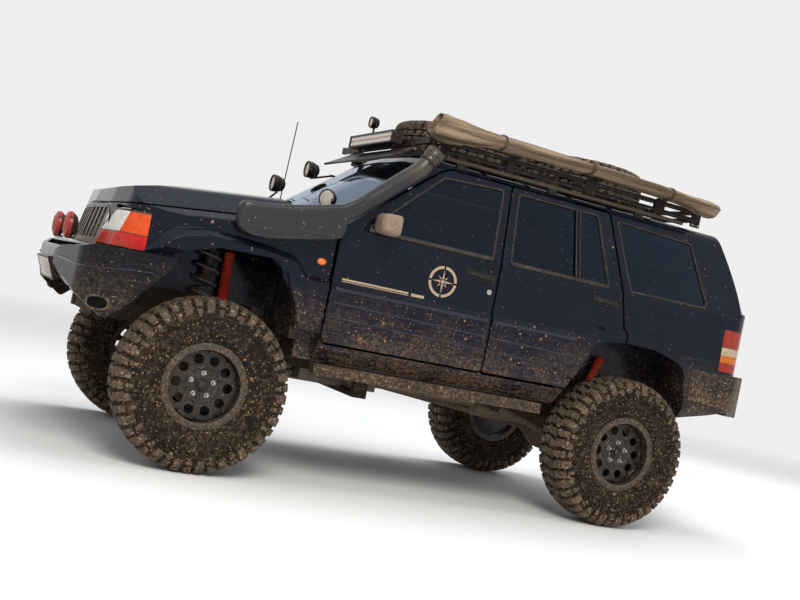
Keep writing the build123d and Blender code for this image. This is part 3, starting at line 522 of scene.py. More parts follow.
def smooth_stations(stations, steps):
    """Stations filled in between by a smooth curve through them."""
    filled = []
    last = len(stations) - 1
    for i in range(last):
        near = [stations[max(min(j, last), 0)] for j in (i - 1, i, i + 1, i + 2)]
        for t in [k / steps for k in range(steps)]:
            filled.append([0.5 * (2 * b + (c - a) * t + (2 * a - 5 * b + 4 * c - d) * t * t
                                  + (3 * b - a - 3 * c + d) * t ** 3) for a, b, c, d in zip(*near)])
    return filled + [stations[-1]]


# Tyres and wheels
tyre_half_width, bead_radius = 152, 216      # of the road wheels, without the lugs
pitches = 22
lug_height = 17


class TyreSide:
    """A tyre's skin under its lugs by the distance down one side, from the tread's middle to the bead."""

    def __init__(self, radius, half_width, bead):
        top, shoulder = radius - lug_height, 105
        wall = top - shoulder - bead
        crown = [(0, 0), (0.40, 1), (0.62, 3), (0.76, 9), (0.87, 23), (0.94, 42), (0.98, 68), (1.0, shoulder)]
        low = [(0.985, 0.62), (0.93, 0.30), (0.84, 0.13), (0.74, 0.05), (0.70, 0.0)]
        self.points = [(half_width * w, top - drop) for w, drop in crown]
        self.points += [(half_width * w, bead + wall * share) for w, share in low]
        self.along = [0.0]
        for a, b in zip(self.points, self.points[1:]):
            self.along.append(self.along[-1] + math.dist(a, b))

    def at(self, s, lift):
        """(distance from the middle plane, radius) at a distance down the side, lifted off the skin."""
        side = -1 if s < 0 else 1
        s = min(abs(s), self.along[-1] - 0.01)
        i = max(k for k in range(len(self.along) - 1) if self.along[k] <= s)
        share = (s - self.along[i]) / (self.along[i + 1] - self.along[i])
        (w, r), (next_w, next_r) = self.points[i], self.points[i + 1]
        run = math.dist(self.points[i], self.points[i + 1])
        out_w, out_r = (r - next_r) / run, (next_w - w) / run
        return side * (w + (next_w - w) * share + out_w * lift), r + (next_r - r) * share + out_r * lift


# Lugs of one pitch on one half, by stations (distance down the side, start, end, height); ends in pitches
lugs = [
    [(5, 0.08, 0.40, 17), (26, 0.12, 0.50, 17), (50, 0.20, 0.52, 17)],
    [(7, 0.58, 0.92, 17), (28, 0.62, 0.90, 17), (44, 0.70, 1.02, 17)],
    [(61, 0.06, 0.40, 17), (84, 0.02, 0.42, 17), (86, 0.02, 0.36, 17), (112, 0.02, 0.38, 16),
     (130, 0.03, 0.40, 14), (150, 0.05, 0.41, 9), (178, 0.08, 0.40, 4)],
    [(56, 0.60, 0.86, 17), (80, 0.55, 0.90, 17), (82, 0.60, 0.90, 17), (112, 0.58, 0.88, 16),
     (128, 0.57, 0.88, 14), (144, 0.60, 0.86, 9)],
    [(156, 0.60, 0.84, 5), (196, 0.62, 0.80, 3)],
]


def tyre(centre, radius, half_width, bead, seed, axis=Y):
    """Mud tyre: a turned carcass with lugs that run over the shoulders, and rings on its side walls."""
    shape = Shape()
    skin = TyreSide(radius, half_width, bead)
    axis = Vector(axis)
    side = axis.orthogonal().normalized()
    other = axis.cross(side)
    reach = half_width / tyre_half_width
    pitch = 2 * math.pi / pitches
    chance = random.Random(seed)

    def spot(w, r, angle):
        return centre + axis * (w * MM) + (side * math.cos(angle) + other * math.sin(angle)) * (r * MM)

    profile = [(r, w) for w, r in skin.points]
    inner = [(bead - 8, -half_width * 0.66), (bead - 8, half_width * 0.66)]
    shape.revolve(centre, axis, profile[::-1] + [(r, -w) for r, w in profile[1:]] + inner, 88)
    for k in range(pitches):
        for half in (-1, 1):
            base = (k + (0.5 if half > 0 else 0)) * pitch
            for lug in lugs:
                wear = chance.uniform(-0.8, 0.6)
                rings = []
                for s, start, end, height in lug:
                    worn = height + wear if height > 10 else height
                    foot, crown = skin.at(half * s * reach, -2), skin.at(half * s * reach, worn)
                    turns = [base + half * pitch * turn for turn in (start, end)]
                    draft = half * pitch * 0.012
                    rings.append([spot(*foot, turns[0] - draft), spot(*foot, turns[1] + draft),
                                  spot(*crown, turns[1] - draft), spot(*crown, turns[0] + draft)])
                shape.rings(rings, mark=1)
    for s, high in ((206, 2.5), (216, 4.0), (238, 2.0)):
        for half in (-1, 1):
            edge = [skin.at(half * (s + d) * reach, h) for d, h in ((-3, -1), (-2, high), (2, high), (3, -1))]
            shape.revolve(centre, axis, [(r, w) for w, r in edge], 72)
    return shape


def plate_with_holes(shape, spot, inner, outer, circle, hole, count, front, back):
    """Disc with a ring of round holes. spot(r, angle, depth) gives points; depths in millimetres."""
    steps = 16
    half = math.pi / count
    for middle in full_turn(count):
        hole_points = []
        edge_points = []
        for a in [2 * math.pi * (i + 0.5) / steps for i in range(steps)]:
            c, s = math.cos(a), math.sin(a)
            hole_x, hole_y = circle + hole * c, hole * s
            hole_points.append((math.hypot(hole_x, hole_y), middle + math.atan2(hole_y, hole_x)))
            big = 1 / max(abs(c), abs(s))
            room = outer - circle if c > 0 else circle - inner
            edge_points.append((circle + room * c * big, middle + half * s * big))
        faces = [(i, (i + 1) % steps, steps + (i + 1) % steps, steps + i) for i in range(steps)]
        for depth, order in ((front, 1), (back, -1)):
            verts = [spot(r, a, depth) for r, a in hole_points + edge_points]
            shape.put(verts, [face[::order] for face in faces])
        rims = [[spot(r, a, depth) for r, a in hole_points] for depth in (front, back)]
        shape.rings(rims, closed_ends=False)


def wheel(centre, side, lying=False, scale=1.0):
    """Steel wheel: barrel, dished disc with round holes, hub, nuts and a bolted bead ring."""
    shape = Shape()
    axis = (0, side, 0)

    def spot(r, angle, depth):
        return centre + Vector((r * math.cos(angle), side * depth, r * math.sin(angle))) * MM

    barrel = [(215, -116), (215, 112), (200, 114), (196, 108), (193, 70), (191, 20), (190, -60), (196, -108),
              (200, -116)]
    weld = [(192, 40), (186, 50), (182, 58), (184, 60), (188, 54), (193, 48)]
    hub = [(0, 66), (30, 66), (34, 62), (35, 56), (48, 54), (84, 58.5), (84, 46), (40, 40), (0, 40)]
    cap = [(0, 82), (18, 82), (23, 78), (26, 64), (0, 64)]
    swage = [(86, 57.6), (90, 60.5), (95, 60.5), (99, 57.6)]
    nut = [(0, 0), (15, 0), (15, 3), (11, 4), (10.5, 18), (8, 21), (0, 21)]
    stud = [(0, 20), (6, 20), (6, 25), (0, 25)]
    ring = [(192, 116), (193, 123), (198, 125), (228, 124), (235, 121), (237, 116), (236, 112), (214, 110)]
    bolt = [(0, 0), (8.5, 0), (8.5, 2), (6.5, 3), (6.2, 8), (0, 8)]
    inner_flange = [(191, -116), (191, -122), (226, -122), (230, -116)]
    shape.revolve(centre, axis, barrel, 72)
    shape.revolve(centre, axis, weld, 72)
    plate_with_holes(shape, spot, inner=84, outer=188, circle=140, hole=27, count=10, front=58, back=48)
    shape.revolve(centre, axis, hub, 48)
    shape.revolve(centre, axis, cap, 32)
    shape.revolve(centre, axis, swage, 64)
    for a in [2 * math.pi * (k + 0.25) / 5 for k in range(5)]:
        seat = spot(63.5, a, 54)
        shape.revolve(seat, axis, nut, 6, mark=1)
        shape.revolve(seat, axis, stud, 10, mark=1)
    shape.revolve(centre, axis, ring, 96, mark=2)
    for a in full_turn(32):
        shape.revolve(spot(217, a, 122), axis, bolt, 6, mark=2)
    shape.revolve(centre, axis, inner_flange, 72)
    if lying:
        lay = Matrix.Rotation(math.radians(90 * side), 3, "X") * scale
        shape.verts = [centre + lay @ (v - centre) for v in shape.verts]
    return shape


def make_wheels():
    for side, hand in sides:
        for along, end in axles:
            centre = place(along, side * half_track, axle_high)
            body = f"wheel_{end}_{hand}"
            mud_tyre = tyre(centre, tyre_radius / MM, tyre_half_width, bead_radius, 3 + side + along)
            mud_tyre.make(f"mud_tyre_{end}_{hand}", "tyre_rubber", "tyre_lug", body=body, smooth=35,
                          replaces=f"tyre_{end}_{hand}")
            wheel(centre, side).make(f"{body}_detail", "wheel_black", "bare_metal", "bead_ring", body=body,
                                     smooth=35, replaces=f"rim_{end}_{hand}")


def make_dust_shields():
    """Pressed plates behind the wheels' dishes; the front ones steer and leave room for the tie rod."""
    rod_turn, half_gap = math.radians(153.4), math.radians(26)
    steps = 56
    gapped = [rod_turn + half_gap + 2 * (math.pi - half_gap) * k / steps for k in range(steps + 1)]
    for side, hand in sides:
        for (along, end), turns, inner, body in zip(axles, (gapped, full_turn(steps)), (134, 60),
                                                    (f"knuckle_{hand}", "vehicle")):
            profile = [(inner, -101), (150, -101), (176, -90), (184, -90), (184, -86), (174, -86), (148, -97),
                       (inner, -97)]
            centre = place(along, side * half_track, axle_high)
            shape = Shape()
            rings = []
            for a in turns:
                points = [(r * math.cos(a), side * d, r * math.sin(a)) for r, d in profile]
                rings.append([centre + Vector(point) * MM for point in points])
            shape.rings(rings, loop=end == "rear")
            shape.make(f"dust_shield_{end}_{hand}", "wheel_black", body=body)


# The model's own nodes by their finishes
node_finishes = {
    "paint": "body_shell fenders liftgate front_door_left front_door_right rear_door_left rear_door_right",
    # The hood's paint carries a painted highlight.
    "hood_paint_with_painted_highlight": "hood",
    "bumper": "front_bumper",
    "rear_bumper_skin": "rear_bumper",
    "grille": "grille",
    "underbody": "floor_pan frame_rails fuel_tank",
    "fixed_glass": "fixed_glass",
    "window_glass": "liftgate_glass front_door_glass_left front_door_glass_right rear_door_glass_left"
                    " rear_door_glass_right",
    "lamp_lens": "front_lamps",
    "tail_lens": "tail_lamps",
    "mirror_housing": "mirror_left mirror_right",
    "rail_steel": "rock_rails",
    "snorkel_plastic": "snorkel",
    "rack_steel": "roof_rack",
    "canvas": "awning_bag",
    "lamp_black": "light_bar auxiliary_lamps wind_deflector",
    "tyre_rubber": "spare_tyres",
    "wheel_black": "spare_rims",
    "antenna_black": "antenna",
    "lamp_red": "driving_lamps",
    "spring_steel": "coil_springs",
    "shock_red": "shock_absorbers",
    "cast_iron": "knuckle_left knuckle_right front_axle rear_axle suspension_links engine prop_shafts",
    "cast_alloy": "gearbox",
    "exhaust_steel": "exhaust",
    "seat_cloth": "seats",
    "cabin_plastic": "dashboard steering_wheel",
}


def dress_nodes():
    for finish, names in node_finishes.items():
        for name in names.split():
            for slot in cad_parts[name].material_slots:
                slot.material = material[finish]


def swell(node, thickness):
    """Lets a node's skin stand out by a thickness in millimetres, as a moulded lens does."""
    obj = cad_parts[node]
    weld = obj.modifiers.new("weld", "WELD")
    weld.merge_threshold = 0.0002
    lift = obj.modifiers.new("lift", "DISPLACE")
    lift.mid_level = 0.0
    lift.strength = thickness * MM


def make_mirrors():
    """Door mirrors: a rounded shell, its neck on the door and the glass in its rear face."""
    middle_x, middle_y, middle_z, count = 830, 927, 1122, 36
    shell = [(773, 50, 32), (779, 64, 46), (792, 73, 54), (815, 77, 58), (850, 79, 60), (879, 79, 60),
             (884, 77, 58), (884, 71, 52), (877, 70, 51)]         # x, half width, half height
    neck = [(800, 838, 1084, 24, 34), (802, 852, 1082, 18, 27), (806, 868, 1086, 17, 24),
            (808, 884, 1094, 20, 24)]                             # x, y, z, half height, half length
    for side, hand in sides:
        shape = Shape()
        rings = []
        for x, wide, high in shell:
            centre = place(x, side * (middle_y - (x - middle_x) * 0.05), middle_z)
            rings.append(superellipse(centre, Z, Y, high, wide, 4.2, count))
        shape.rings(rings)
        middle = sum(rings[-1], Vector()) / count
        pane = [middle + (p - middle) * 0.97 + Vector((0.0015, 0, 0)) for p in rings[-1]]
        shape.put(pane, [tuple(range(count))], 1)
        rings = [superellipse(place(x, side * y, z), Z, X, high, long, 4, 24) for x, y, z, high, long in neck]
        shape.rings(rings, mark=2)
        shape.make(f"door_mirror_{hand}", "mirror_housing", "mirror_glass", "rubber_black",
                   body=f"front_door_{hand}", replaces=f"mirror_{hand}")


def on_screen(y, z, out):
    """Point before the windscreen's bowed and leaning outer face."""
    foot_x, foot_z, flat, bow, lean = 430, 1100, 330, 14, 1.333
    x = foot_x + bow * abs(y) / flat if abs(y) < flat else foot_x + bow + 0.226 * (abs(y) - flat)
    return place(x + lean * (z - foot_z) - out, y, z)


def make_wipers():
    shape = Shape()
    foot_z, elbow_z, blade_z, rise = 1124, 1150, 1142, 18
    steps = 10
    for pivot, tip in ((-540, -60), (60, 560)):
        foot = on_screen(pivot, foot_z, 14)
        shape.revolve(foot, (-0.6, 0, 0.8), [(0, -8), (15, -8), (15, 4), (9, 10), (0, 10)], 20)
        elbow = on_screen((pivot + tip) / 2 + 60, elbow_z, 16)
        shape.tube([foot, (foot + elbow) / 2 + Vector((-0.003, 0, 0.003)), elbow], [6, 5, 4], 8)
        blade = [on_screen(pivot + 90 + (tip - pivot - 40) * k / steps, blade_z + rise * k / steps, 7)
                 for k in range(steps + 1)]
        shape.tube(blade, 4.5, 6)
        shape.tube([p + Vector((0.003, 0, -0.004)) for p in blade], 2.5, 6)
    shape.make("wipers", "rubber_black")


def make_plates():
    """Blank number plate in its raked holder on the front bumper."""
    width, height = 520, 108
    lean = Matrix.Rotation(math.radians(-22.3), 3, "Y")
    centre = place(-798.4, 0, 511)
    shape = Shape()
    shape.box(centre, (3, width, height), lean)
    shape.box(centre + lean @ Vector((-0.0012, 0.243, 0)), (2.4, 28, 104), lean, mark=1)
    for y in (-150, 150):
        screw = [(0, 1), (5, 1), (5, 3), (3, 4), (0, 4)]
        shape.revolve(centre + Vector((0, y * MM, 0)), lean @ Vector((-1, 0, 0)), screw, 12, mark=2)
    shape.make("front_plate", "plate_white", "plate_blue", "bare_metal", smooth=30)
    holder = Shape()
    half_y, half_z, bar = width / 2 + 3, height / 2 + 3, 8
    for y, z, wide, tall in ((0, half_z, width + 12, bar), (0, -half_z, width + 12, bar),
                             (-half_y, 0, bar, height + 10), (half_y, 0, bar, height + 10)):
        holder.box(centre + lean @ Vector((0.001, y * MM, z * MM)), (4, wide, tall), lean)
    holder.make("front_plate_frame", "lamp_black", smooth=30)


def make_seats():
    """Padded seats: cushions, backs and head rests in cloth."""
    floor, rows = 360, 12
    cushion_z, back_z, rest_z = floor + 240, floor + 262, floor + 800
    back_lean = (0.97, 0, -0.24)
    for name, x, y, width, rests in (("driver", 1230, -370, 520, (0,)), ("passenger", 1230, 370, 520, (0,)),
                                     ("rear_bench", aft(-611), 0, 1090, (-330, 330))):
        shape = Shape()
        half = width / 2
        cushion = []
        back = []
        for k in range(rows + 1):
            u = -1 + 2 * k / rows
            full = (1 - abs(u) ** 6) ** 0.5 if abs(u) < 1 else 0.05
            centre = place(x + u * 258, y, cushion_z + 4 * u)
            thick, wide = 62 * (0.55 + 0.45 * full), half * (0.90 + 0.08 * full)
            cushion.append(superellipse(centre, Z, Y, thick, wide, 4, 40))
            up = k / rows
            full = (1 - abs(2 * up - 1) ** 6) ** 0.5
            centre = place(x + 268 + 150 * up, y, back_z + 500 * up)
            thick, wide = 58 * (0.5 + 0.5 * full), half * (0.78 + 0.16 * full)
            back.append(superellipse(centre, back_lean, Y, thick, wide, 3.6, 40))
        shape.rings(cushion)
        shape.rings(back)
        for rest in rests:
            pad = []
            for up in (0, 0.15, 0.4, 0.7, 0.9, 1):
                taper = abs(2 * up - 1) ** 3
                centre = place(x + 405 + 22 * up, y + rest, rest_z + 90 * up)
                thick, wide = 46 * (1 - 0.25 * taper), 118 * (1 - 0.22 * taper)
                pad.append(superellipse(centre, back_lean, Y, thick, wide, 3, 28))
            shape.rings(pad)
            for post_y in (y + rest - 40, y + rest + 40):
                post = [place(x + 398, post_y, rest_z - 60), place(x + 412, post_y, rest_z + 15)]
                shape.tube(post, 6, 8, mark=1)
        shape.box(place(x, y, floor + 88), (430, width - 70, 168), mark=1)
        seat = shape.make(f"seat_{name}", "seat_cloth", "cabin_plastic", smooth=50,
                          replaces="seats" if name == "driver" else "", slotted=True)


def make_steering_wheel():
    shape = Shape()
    centre = place(925, -370, 930)
    lean = Matrix.Rotation(math.radians(-65), 3, "Y")
    rim, spoke = 0.176, 0.172
    ring = [centre + lean @ Vector((rim * math.cos(a), rim * math.sin(a), 0)) for a in full_turn(48)]
    shape.tube(ring, 13, 12, loop=True)
    for a in (0.12, math.pi - 0.12, -math.pi / 2):
        across = a + math.pi / 2
        end = centre + lean @ Vector((spoke * math.sin(across), spoke * math.cos(across), 0))
        shape.tube([centre, end], 11, 10, squash=0.6)
    shape.revolve(centre, lean @ Vector(Z), [(0, 22), (40, 20), (52, 10), (50, -18), (0, -20)], 32)
    shape.tube([centre, place(800, -370, 870)], 20, 14)
    shape.make("steering_ring", "cabin_plastic", smooth=50, replaces="steering_wheel")


def make_rack_details():
    """Slats on the rack floor, bolts on its posts, pads under its feet and the awning's angle brackets."""
    shape = Shape()
    front, rear, floor_z, side_y = 1190, aft(389), 1646, 705
    half_floor, slat_pitch, beam_y, beam_room = 600, 120, 400, 30
    lower_bolt, upper_bolt, bolt_spread, foot_y, foot_z = 1610, 1686, 22, 716, 1566
    post_shares, foot_shares = (0, 0.223, 0.493, 0.825, 0.992), (0.06, 0.4, 0.75)
    for y in range(-half_floor, half_floor + 1, slat_pitch):
        if y != 0 and abs(abs(y) - beam_y) >= beam_room:
            shape.box(place((front + rear) / 2, y, floor_z), (rear - front - 40, 26, 6))
    small_bolt, large_bolt = [(0, 0), (6, 0), (6, 4), (0, 5)], [(0, 0), (7, 0), (7, 4), (0, 5)]
    for side in (-1, 1):
        for share in post_shares:
            x = front + share * (rear - front)
            for z in (lower_bolt, upper_bolt):
                for bolt_x in (x - bolt_spread, x + bolt_spread):
                    shape.revolve(place(bolt_x, side * side_y, z), (0, side, 0), small_bolt, 6, mark=1)
        for share in foot_shares:
            shape.box(place(front + share * (rear - front), side * foot_y, foot_z), (56, 8, 20))
    leg_y, leg_z, arm_y, arm_z, plate = -720, 1664, -752, 1707, 5
    for x, wide in ((1625, 58), (2207, 80), (2750, 78)):
        shape.box(place(x, leg_y, leg_z), (wide, plate, 92))
        shape.box(place(x, arm_y, arm_z), (wide, 68, plate))
        for bolt_x in (x - 18, x + 18):
            shape.revolve(place(bolt_x, leg_y - 2, leg_z - 30), (0, -1, 0), large_bolt, 6)
    shape.make("rack_slats", "rack_steel", "bare_metal", smooth=30)


# Crease along the bumper: x, y, z
bumper_trim = [(-790, 420, 588), (-779, 472, 585), (-765, 547, 582), (-752, 621, 576), (-727, 745, 570),
               (-686, 805, 570), (-613, 846, 576), (-538, 866, 586), (-459, 874, 593), (-367, 878, 597)]


def make_bumper_details():
    """Crease along the bumper's sides, the openings at its lower corners, each closed by a dark face of
    painted shade, and dark panels of painted shade behind the lamps.
    """
    shape = Shape()
    for side in (-1, 1):
        shape.tube([place(x, side * y, z) for x, y, z in bumper_trim], 5, 8, squash=1.6)
        ring = superellipse(place(-612, side * 846, 400), (0.94, side * 0.34, 0), Z, 56, 34, 2.6, 32)
        shape.tube(ring, 6, 8, mark=1, loop=True)
        # A flat dark face on each opening's rim: painted shade in the hole.
        out = Vector((-0.34, side * 0.94, 0)) * 0.002
        shape.put([p + out for p in ring], [tuple(range(32))], 2)
        # Dark panel in the gap over each lamp: painted shade.
        shape.box(place(-468, side * 595, 894), (3, 390, 46), mark=2)
    shape.make("bumper_details", "moulding", "lamp_black", "painted_hollow_shade")


# The body's side surface: heights, and half widths at them
belt_z, gutter_z = 1058, 1576
clad_low, clad_high = 731, 758         # foot and top of the slope over the lower cladding
belt_y, panel_y, clad_y, gutter_y = 868, 872, 888, 724


def on_side(x, z, side, out=0.0):
    """Point on the body's side, moved outward."""
    if z > belt_z:
        y = belt_y - (z - belt_z) * (belt_y - gutter_y) / (gutter_z - belt_z)
    elif z > clad_high:
        y = panel_y - (z - clad_high) * (panel_y - belt_y) / (belt_z - clad_high)
    else:
        y = clad_y - max(0, z - clad_low) * (clad_y - panel_y) / (clad_high - clad_low)
    return place(x, side * (y + out), z)


def rounded(corners, steps=6):
    """Closed outline from (u, v, radius) corners with arcs at them."""
    points = []
    for i, (u, v, radius) in enumerate(corners):
        here = Vector((u, v))
        back = Vector(corners[i - 1][:2]) - here
        ahead = Vector(corners[(i + 1) % len(corners)][:2]) - here
        reach = min(radius / math.tan(back.angle(ahead) / 2), 0.49 * back.length, 0.49 * ahead.length)
        start, end = here + back.normalized() * reach, here + ahead.normalized() * reach
        for t in [k / steps for k in range(steps + 1)]:
            points.append(start * (1 - t) ** 2 + here * (2 * t * (1 - t)) + end * t ** 2)
    return points


def offset(points, distance):
    """Closed outline moved outward by a distance, corner by corner."""
    area = sum(a[0] * b[1] - b[0] * a[1] for a, b in zip(points, points[1:] + points[:1]))
    sign = 1 if area > 0 else -1
    moved = []
    for i, point in enumerate(points):
        before = (point - points[i - 1]).normalized()
        after = (points[(i + 1) % len(points)] - point).normalized()
        out = Vector((before.y + after.y, -before.x - after.x)) * sign
        out.normalize()
        share = max(0.5, abs(out.dot(Vector((before.y, -before.x)))))
        moved.append(point + out * (distance / share))
    return moved


# Windows in (x, z, corner radius), from the lower front corner round over the top
front_window = [(742, 1078, 14), (1196, 1480, 60), (1602, 1502, 30), (1556, 1078, 20)]
rear_window = [(1676, 1078, 20), (1706, 1502, 30), (aft(-399), 1502, 30), (aft(-299), 1078, 20)]
quarter_window = [(aft(-135), 1076, 20), (aft(-255), 1500, 20), (aft(339), 1478, 40), (aft(489), 1082, 40)]


def make_seals():
    """Dusty rubber round the side windows, the rear door's window divider and the strips along the belt."""
    band = ((-9, -10), (-7, 2.5), (3, 2.5), (5, -10))       # offset from the outline, height over the side
    for side, hand in sides:
        for name, outline, body in (("front_window_seal", front_window, f"front_door_{hand}"),
                                    ("rear_window_seal", rear_window, f"rear_door_{hand}"),
                                    ("quarter_window_seal", quarter_window, "vehicle")):
            shape = Shape()
            lines = [[on_side(*p, side, high) for p in offset(rounded(outline), away)] for away, high in band]
            shape.rings(list(zip(*lines)), loop=True)
            if body != "vehicle":
                low = outline[0][1]
                start, end = outline[0][0] + 10, outline[-1][0] - 4
                shape.box(on_side((start + end) / 2, low - 6, side, 3.5), (end - start, 9, 17))
            if outline is rear_window:
                for x in (aft(-548), aft(-522)):
                    shape.tube([on_side(x, 1068, side, 2), on_side(x - 19, 1508, side, 2)], 8, 8, squash=0.6)
            shape.make(f"{name}_{hand}", "seal", body=body)


def make_handles():
    """Pull handles on dark plates with their buttons, and the key locks under the front ones."""
    half = 100
    bar = [(-84, 15), (-76, 25), (-40, 30), (0, 31), (40, 30), (76, 25), (84, 15)]
    button = [(0, 7), (12, 7), (15, 5), (16, 0), (0, 0)]
    key_lock = [(0, 3), (9, 3), (10, 5), (15, 5), (17, 0), (0, 0)]
    for side, hand in sides:
        for end, x, z in (("front", 1492, 960), ("rear", aft(-309), 978)):
            shape = Shape()
            front, rear = x - half, x + half
            plate = [(front, z + 30, 26), (rear, z + 16, 26), (rear, z - 30, 26), (front, z - 16, 26)]
            shape.prism([on_side(*p, side, 0.2) for p in rounded(plate, 8)], (0, side * 5 * MM, 0))
            path = [on_side(x + u, z - 0.07 * u + 2, side, v - 9) for u, v in bar]
            shape.tube(path, [11, 12, 12, 12, 12, 12, 11], squash=0.62)
            shape.revolve(on_side(x + 78, z - 6, side, 5), (0, side, 0), button, 24)
            if end == "front":
                shape.revolve(on_side(x + 76, z - 80, side), (0, side, 0), key_lock, 28, mark=1)
            shape.make(f"{end}_handle_{hand}", "rubber_black", "bare_metal", body=f"{end}_door_{hand}")


# Mouldings along the doors' cladding: height at the front, drop a millimetre back, half height, how far out
mouldings = [(716, 0.0, 11, 5), (640, 0.018, 7, 4), (560, 0.018, 6, 3.5)]


def make_side_ribs():
    """Raised mouldings along the doors' lower cladding, with flattened ends."""
    front = 622
    for side, hand in sides:
        for end, start, stop in (("front", front, 1596), ("rear", 1636, aft(-470))):
            shape = Shape()
            for front_z, drop, half, out in mouldings:
                profile = [(-half, -2), (-half * 0.7, out * 0.7), (-half * 0.2, out), (half * 0.3, out),
                           (half * 0.8, out * 0.6), (half, -2)]
                rings = []
                for x in (start, start + 12, (start + stop) / 2, stop - 12, stop):
                    z = front_z - drop * (x - front)
                    share = 0.2 if x in (start, stop) else 1
                    rings.append([on_side(x, z + v, side, o * share) for v, o in profile])
                shape.rings(rings)
            shape.make(f"{end}_door_rib_{hand}", "moulding", body=f"{end}_door_{hand}", smooth=50)


def make_door_marks():
    """Sand-coloured compass ring and double stripe on the front doors."""
    x, z, proud = 1258, 881, 1.2
    quarter, gap = math.pi / 2, 0.14
    for side, hand in sides:
        shape = Shape()

        def flat(points):
            shape.prism([on_side(*p, side) for p in points], (0, side * proud * MM, 0))

        def around(r, a, across=0.0):
            """Point at a radius and angle about the compass, moved square to that direction."""
            return (x + r * math.cos(a) - across * math.sin(a), z + r * math.sin(a) + across * math.cos(a))

        for k in range(4):
            turns = [quarter * k + gap / 2 + (quarter - gap) * j / 14 for j in range(15)]
            for a, b in zip(turns, turns[1:]):
                flat([around(74, a), around(90, a), around(90, b), around(74, b)])
        for k, a in enumerate(full_turn(8)):
            near, tip, half = (15, 70, 6.5) if k % 2 == 0 else (20, 44, 4.5)
            flat([around(near, a, half), around(tip, a), around(near, a, -half)])
        flat([around(11, a) for a in full_turn(20)])
        for start, stop, high, low in ((650, 1060, 780, 770), (650, 1060, 765, 761), (1078, 1160, 778, 762)):
            flat([(start, high), (stop, high), (stop, low), (start, low)])
        shape.make(f"door_marks_{hand}", "sand_paint", body=f"front_door_{hand}", smooth=0)


def make_marker_lamps():
    """Oval amber lamps on the front fenders, each with a black rim."""
    x, y, z, stretch = 513, 868, 844, 1.35
    for side, hand in sides:
        shape = Shape()
        centre = place(x, side * y, z)
        shape.revolve(centre, (0, side, 0), [(0, 12), (10, 11), (17, 7), (20, 0), (0, 0)], 28)
        for v in shape.verts:
            v.x = centre.x + (v.x - centre.x) * stretch
        rim = [place(x + 29 * math.cos(a), side * (y + 2), z + 22 * math.sin(a)) for a in full_turn(32)]
        shape.tube(rim, 4, 8, mark=1, loop=True)
        shape.make(f"marker_lamp_{hand}", "amber_lens", "rubber_black")


# Snorkel stations: lower x and z, upper x and z, half thickness, distance from the middle, squareness
snorkel_line = [
    (-17, 978, -15, 1030, 14, 909, 3), (-10, 948, -4, 1060, 34, 911, 4), (20, 916, 26, 1074, 43, 913, 5),
    (100, 895, 104, 1079, 44, 914, 5), (220, 905, 222, 1097, 44, 914, 5), (340, 928, 340, 1121, 44, 914, 5),
    (450, 951, 448, 1147, 44, 914, 5), (530, 969, 520, 1165, 44, 914, 5), (565, 984, 552, 1176, 44, 913.5, 5),
    (580, 1006, 574, 1190, 44, 912.5, 4.6), (584, 1048, 596, 1202, 44, 911, 4.2),
    (608, 1092, 622, 1221, 44.5, 907, 3.6), (668, 1134, 645, 1240, 45, 902, 3),
    (733, 1181, 667, 1256, 47, 893, 2.3), (833, 1268, 767, 1343, 48, 874, 2),
    (933, 1354, 867, 1430, 49, 853, 2), (1022, 1432, 948, 1500, 50, 839, 2),
    (1067, 1489, 985, 1547, 50, 836, 2), (1087, 1520, 1005, 1578, 50, 836, 2)]


def make_snorkel():
    """Moulded air intake: a flat box on the fender, a round pipe beside the pillar, and its ram head."""
    shape = Shape()
    rings = []
    for low_x, low_z, high_x, high_z, thick, y, power in smooth_stations(snorkel_line, 4):
        low, high = place(low_x, -y, low_z), place(high_x, -y, high_z)
        tall = (high - low).length
        rings.append(superellipse((low + high) / 2, (high - low) / tall, Y, tall / 2 / MM, thick, power, 32))
    shape.rings(rings)
    top = place(1046, -836, 1549)
    along = Vector((0.57, 0, 0.82)).normalized()
    head = [(0, -4), (52, -4), (56, 0), (57, 8), (53, 11), (53, 14), (58, 17), (58, 46), (55, 52), (46, 54),
            (44, 30), (0, 28)]
    clamp = [(50, -8), (54, -8), (55, 0), (54, 8), (50, 8)]
    shape.revolve(top, along, head, 40)
    shape.revolve(top - along * 0.030, along, clamp, 40, mark=1)
    shape.box(place(1026, -893, 1519), (22, 10, 14), mark=1)
    shape.tube([place(x, -958, z) for x, z in ((24, 940), (110, 920), (330, 952), (540, 996))], 4, 6)
    shape.make("snorkel_body", "snorkel_plastic", "rubber_black", replaces="snorkel")


# Awning bag rings: top x, top z, bottom x, bottom z, half width
awning_rings = [
    (1070, 1831, 1006, 1700, 66), (1104, 1834, 1052, 1672, 78), (1180, 1824, 1150, 1660, 84),
    (1300, 1810, 1290, 1684, 82), (1450, 1803, 1448, 1704, 80), (1700, 1800, 1700, 1712, 80),
    (1950, 1799, 1950, 1714, 82), (2198, 1796, 2198, 1714, 82), (2420, 1791, 2420, 1710, 84),
    (2600, 1786, 2598, 1704, 84), (2760, 1778, 2752, 1696, 85), (2912, 1772, 2900, 1684, 84),
    (3010, 1774, 2990, 1668, 82), (3080, 1768, 3046, 1656, 78), (3138, 1758, 3080, 1652, 70)]


def crumpled(point, centre):
    """A point of the canvas drawn in by long creases, cross folds and small dents."""
    long = noise.noise(Vector((point.x * 1.1, point.y * 17, point.z * 17)))
    cross = noise.noise(Vector((point.x * 15 + 5, point.y * 6, point.z * 6)))
    small = noise.noise(point * 45)
    depth = 0.003 + 0.024 * abs(long) - 0.003 * cross - 0.0015 * small
    return point - (point - centre).normalized() * depth


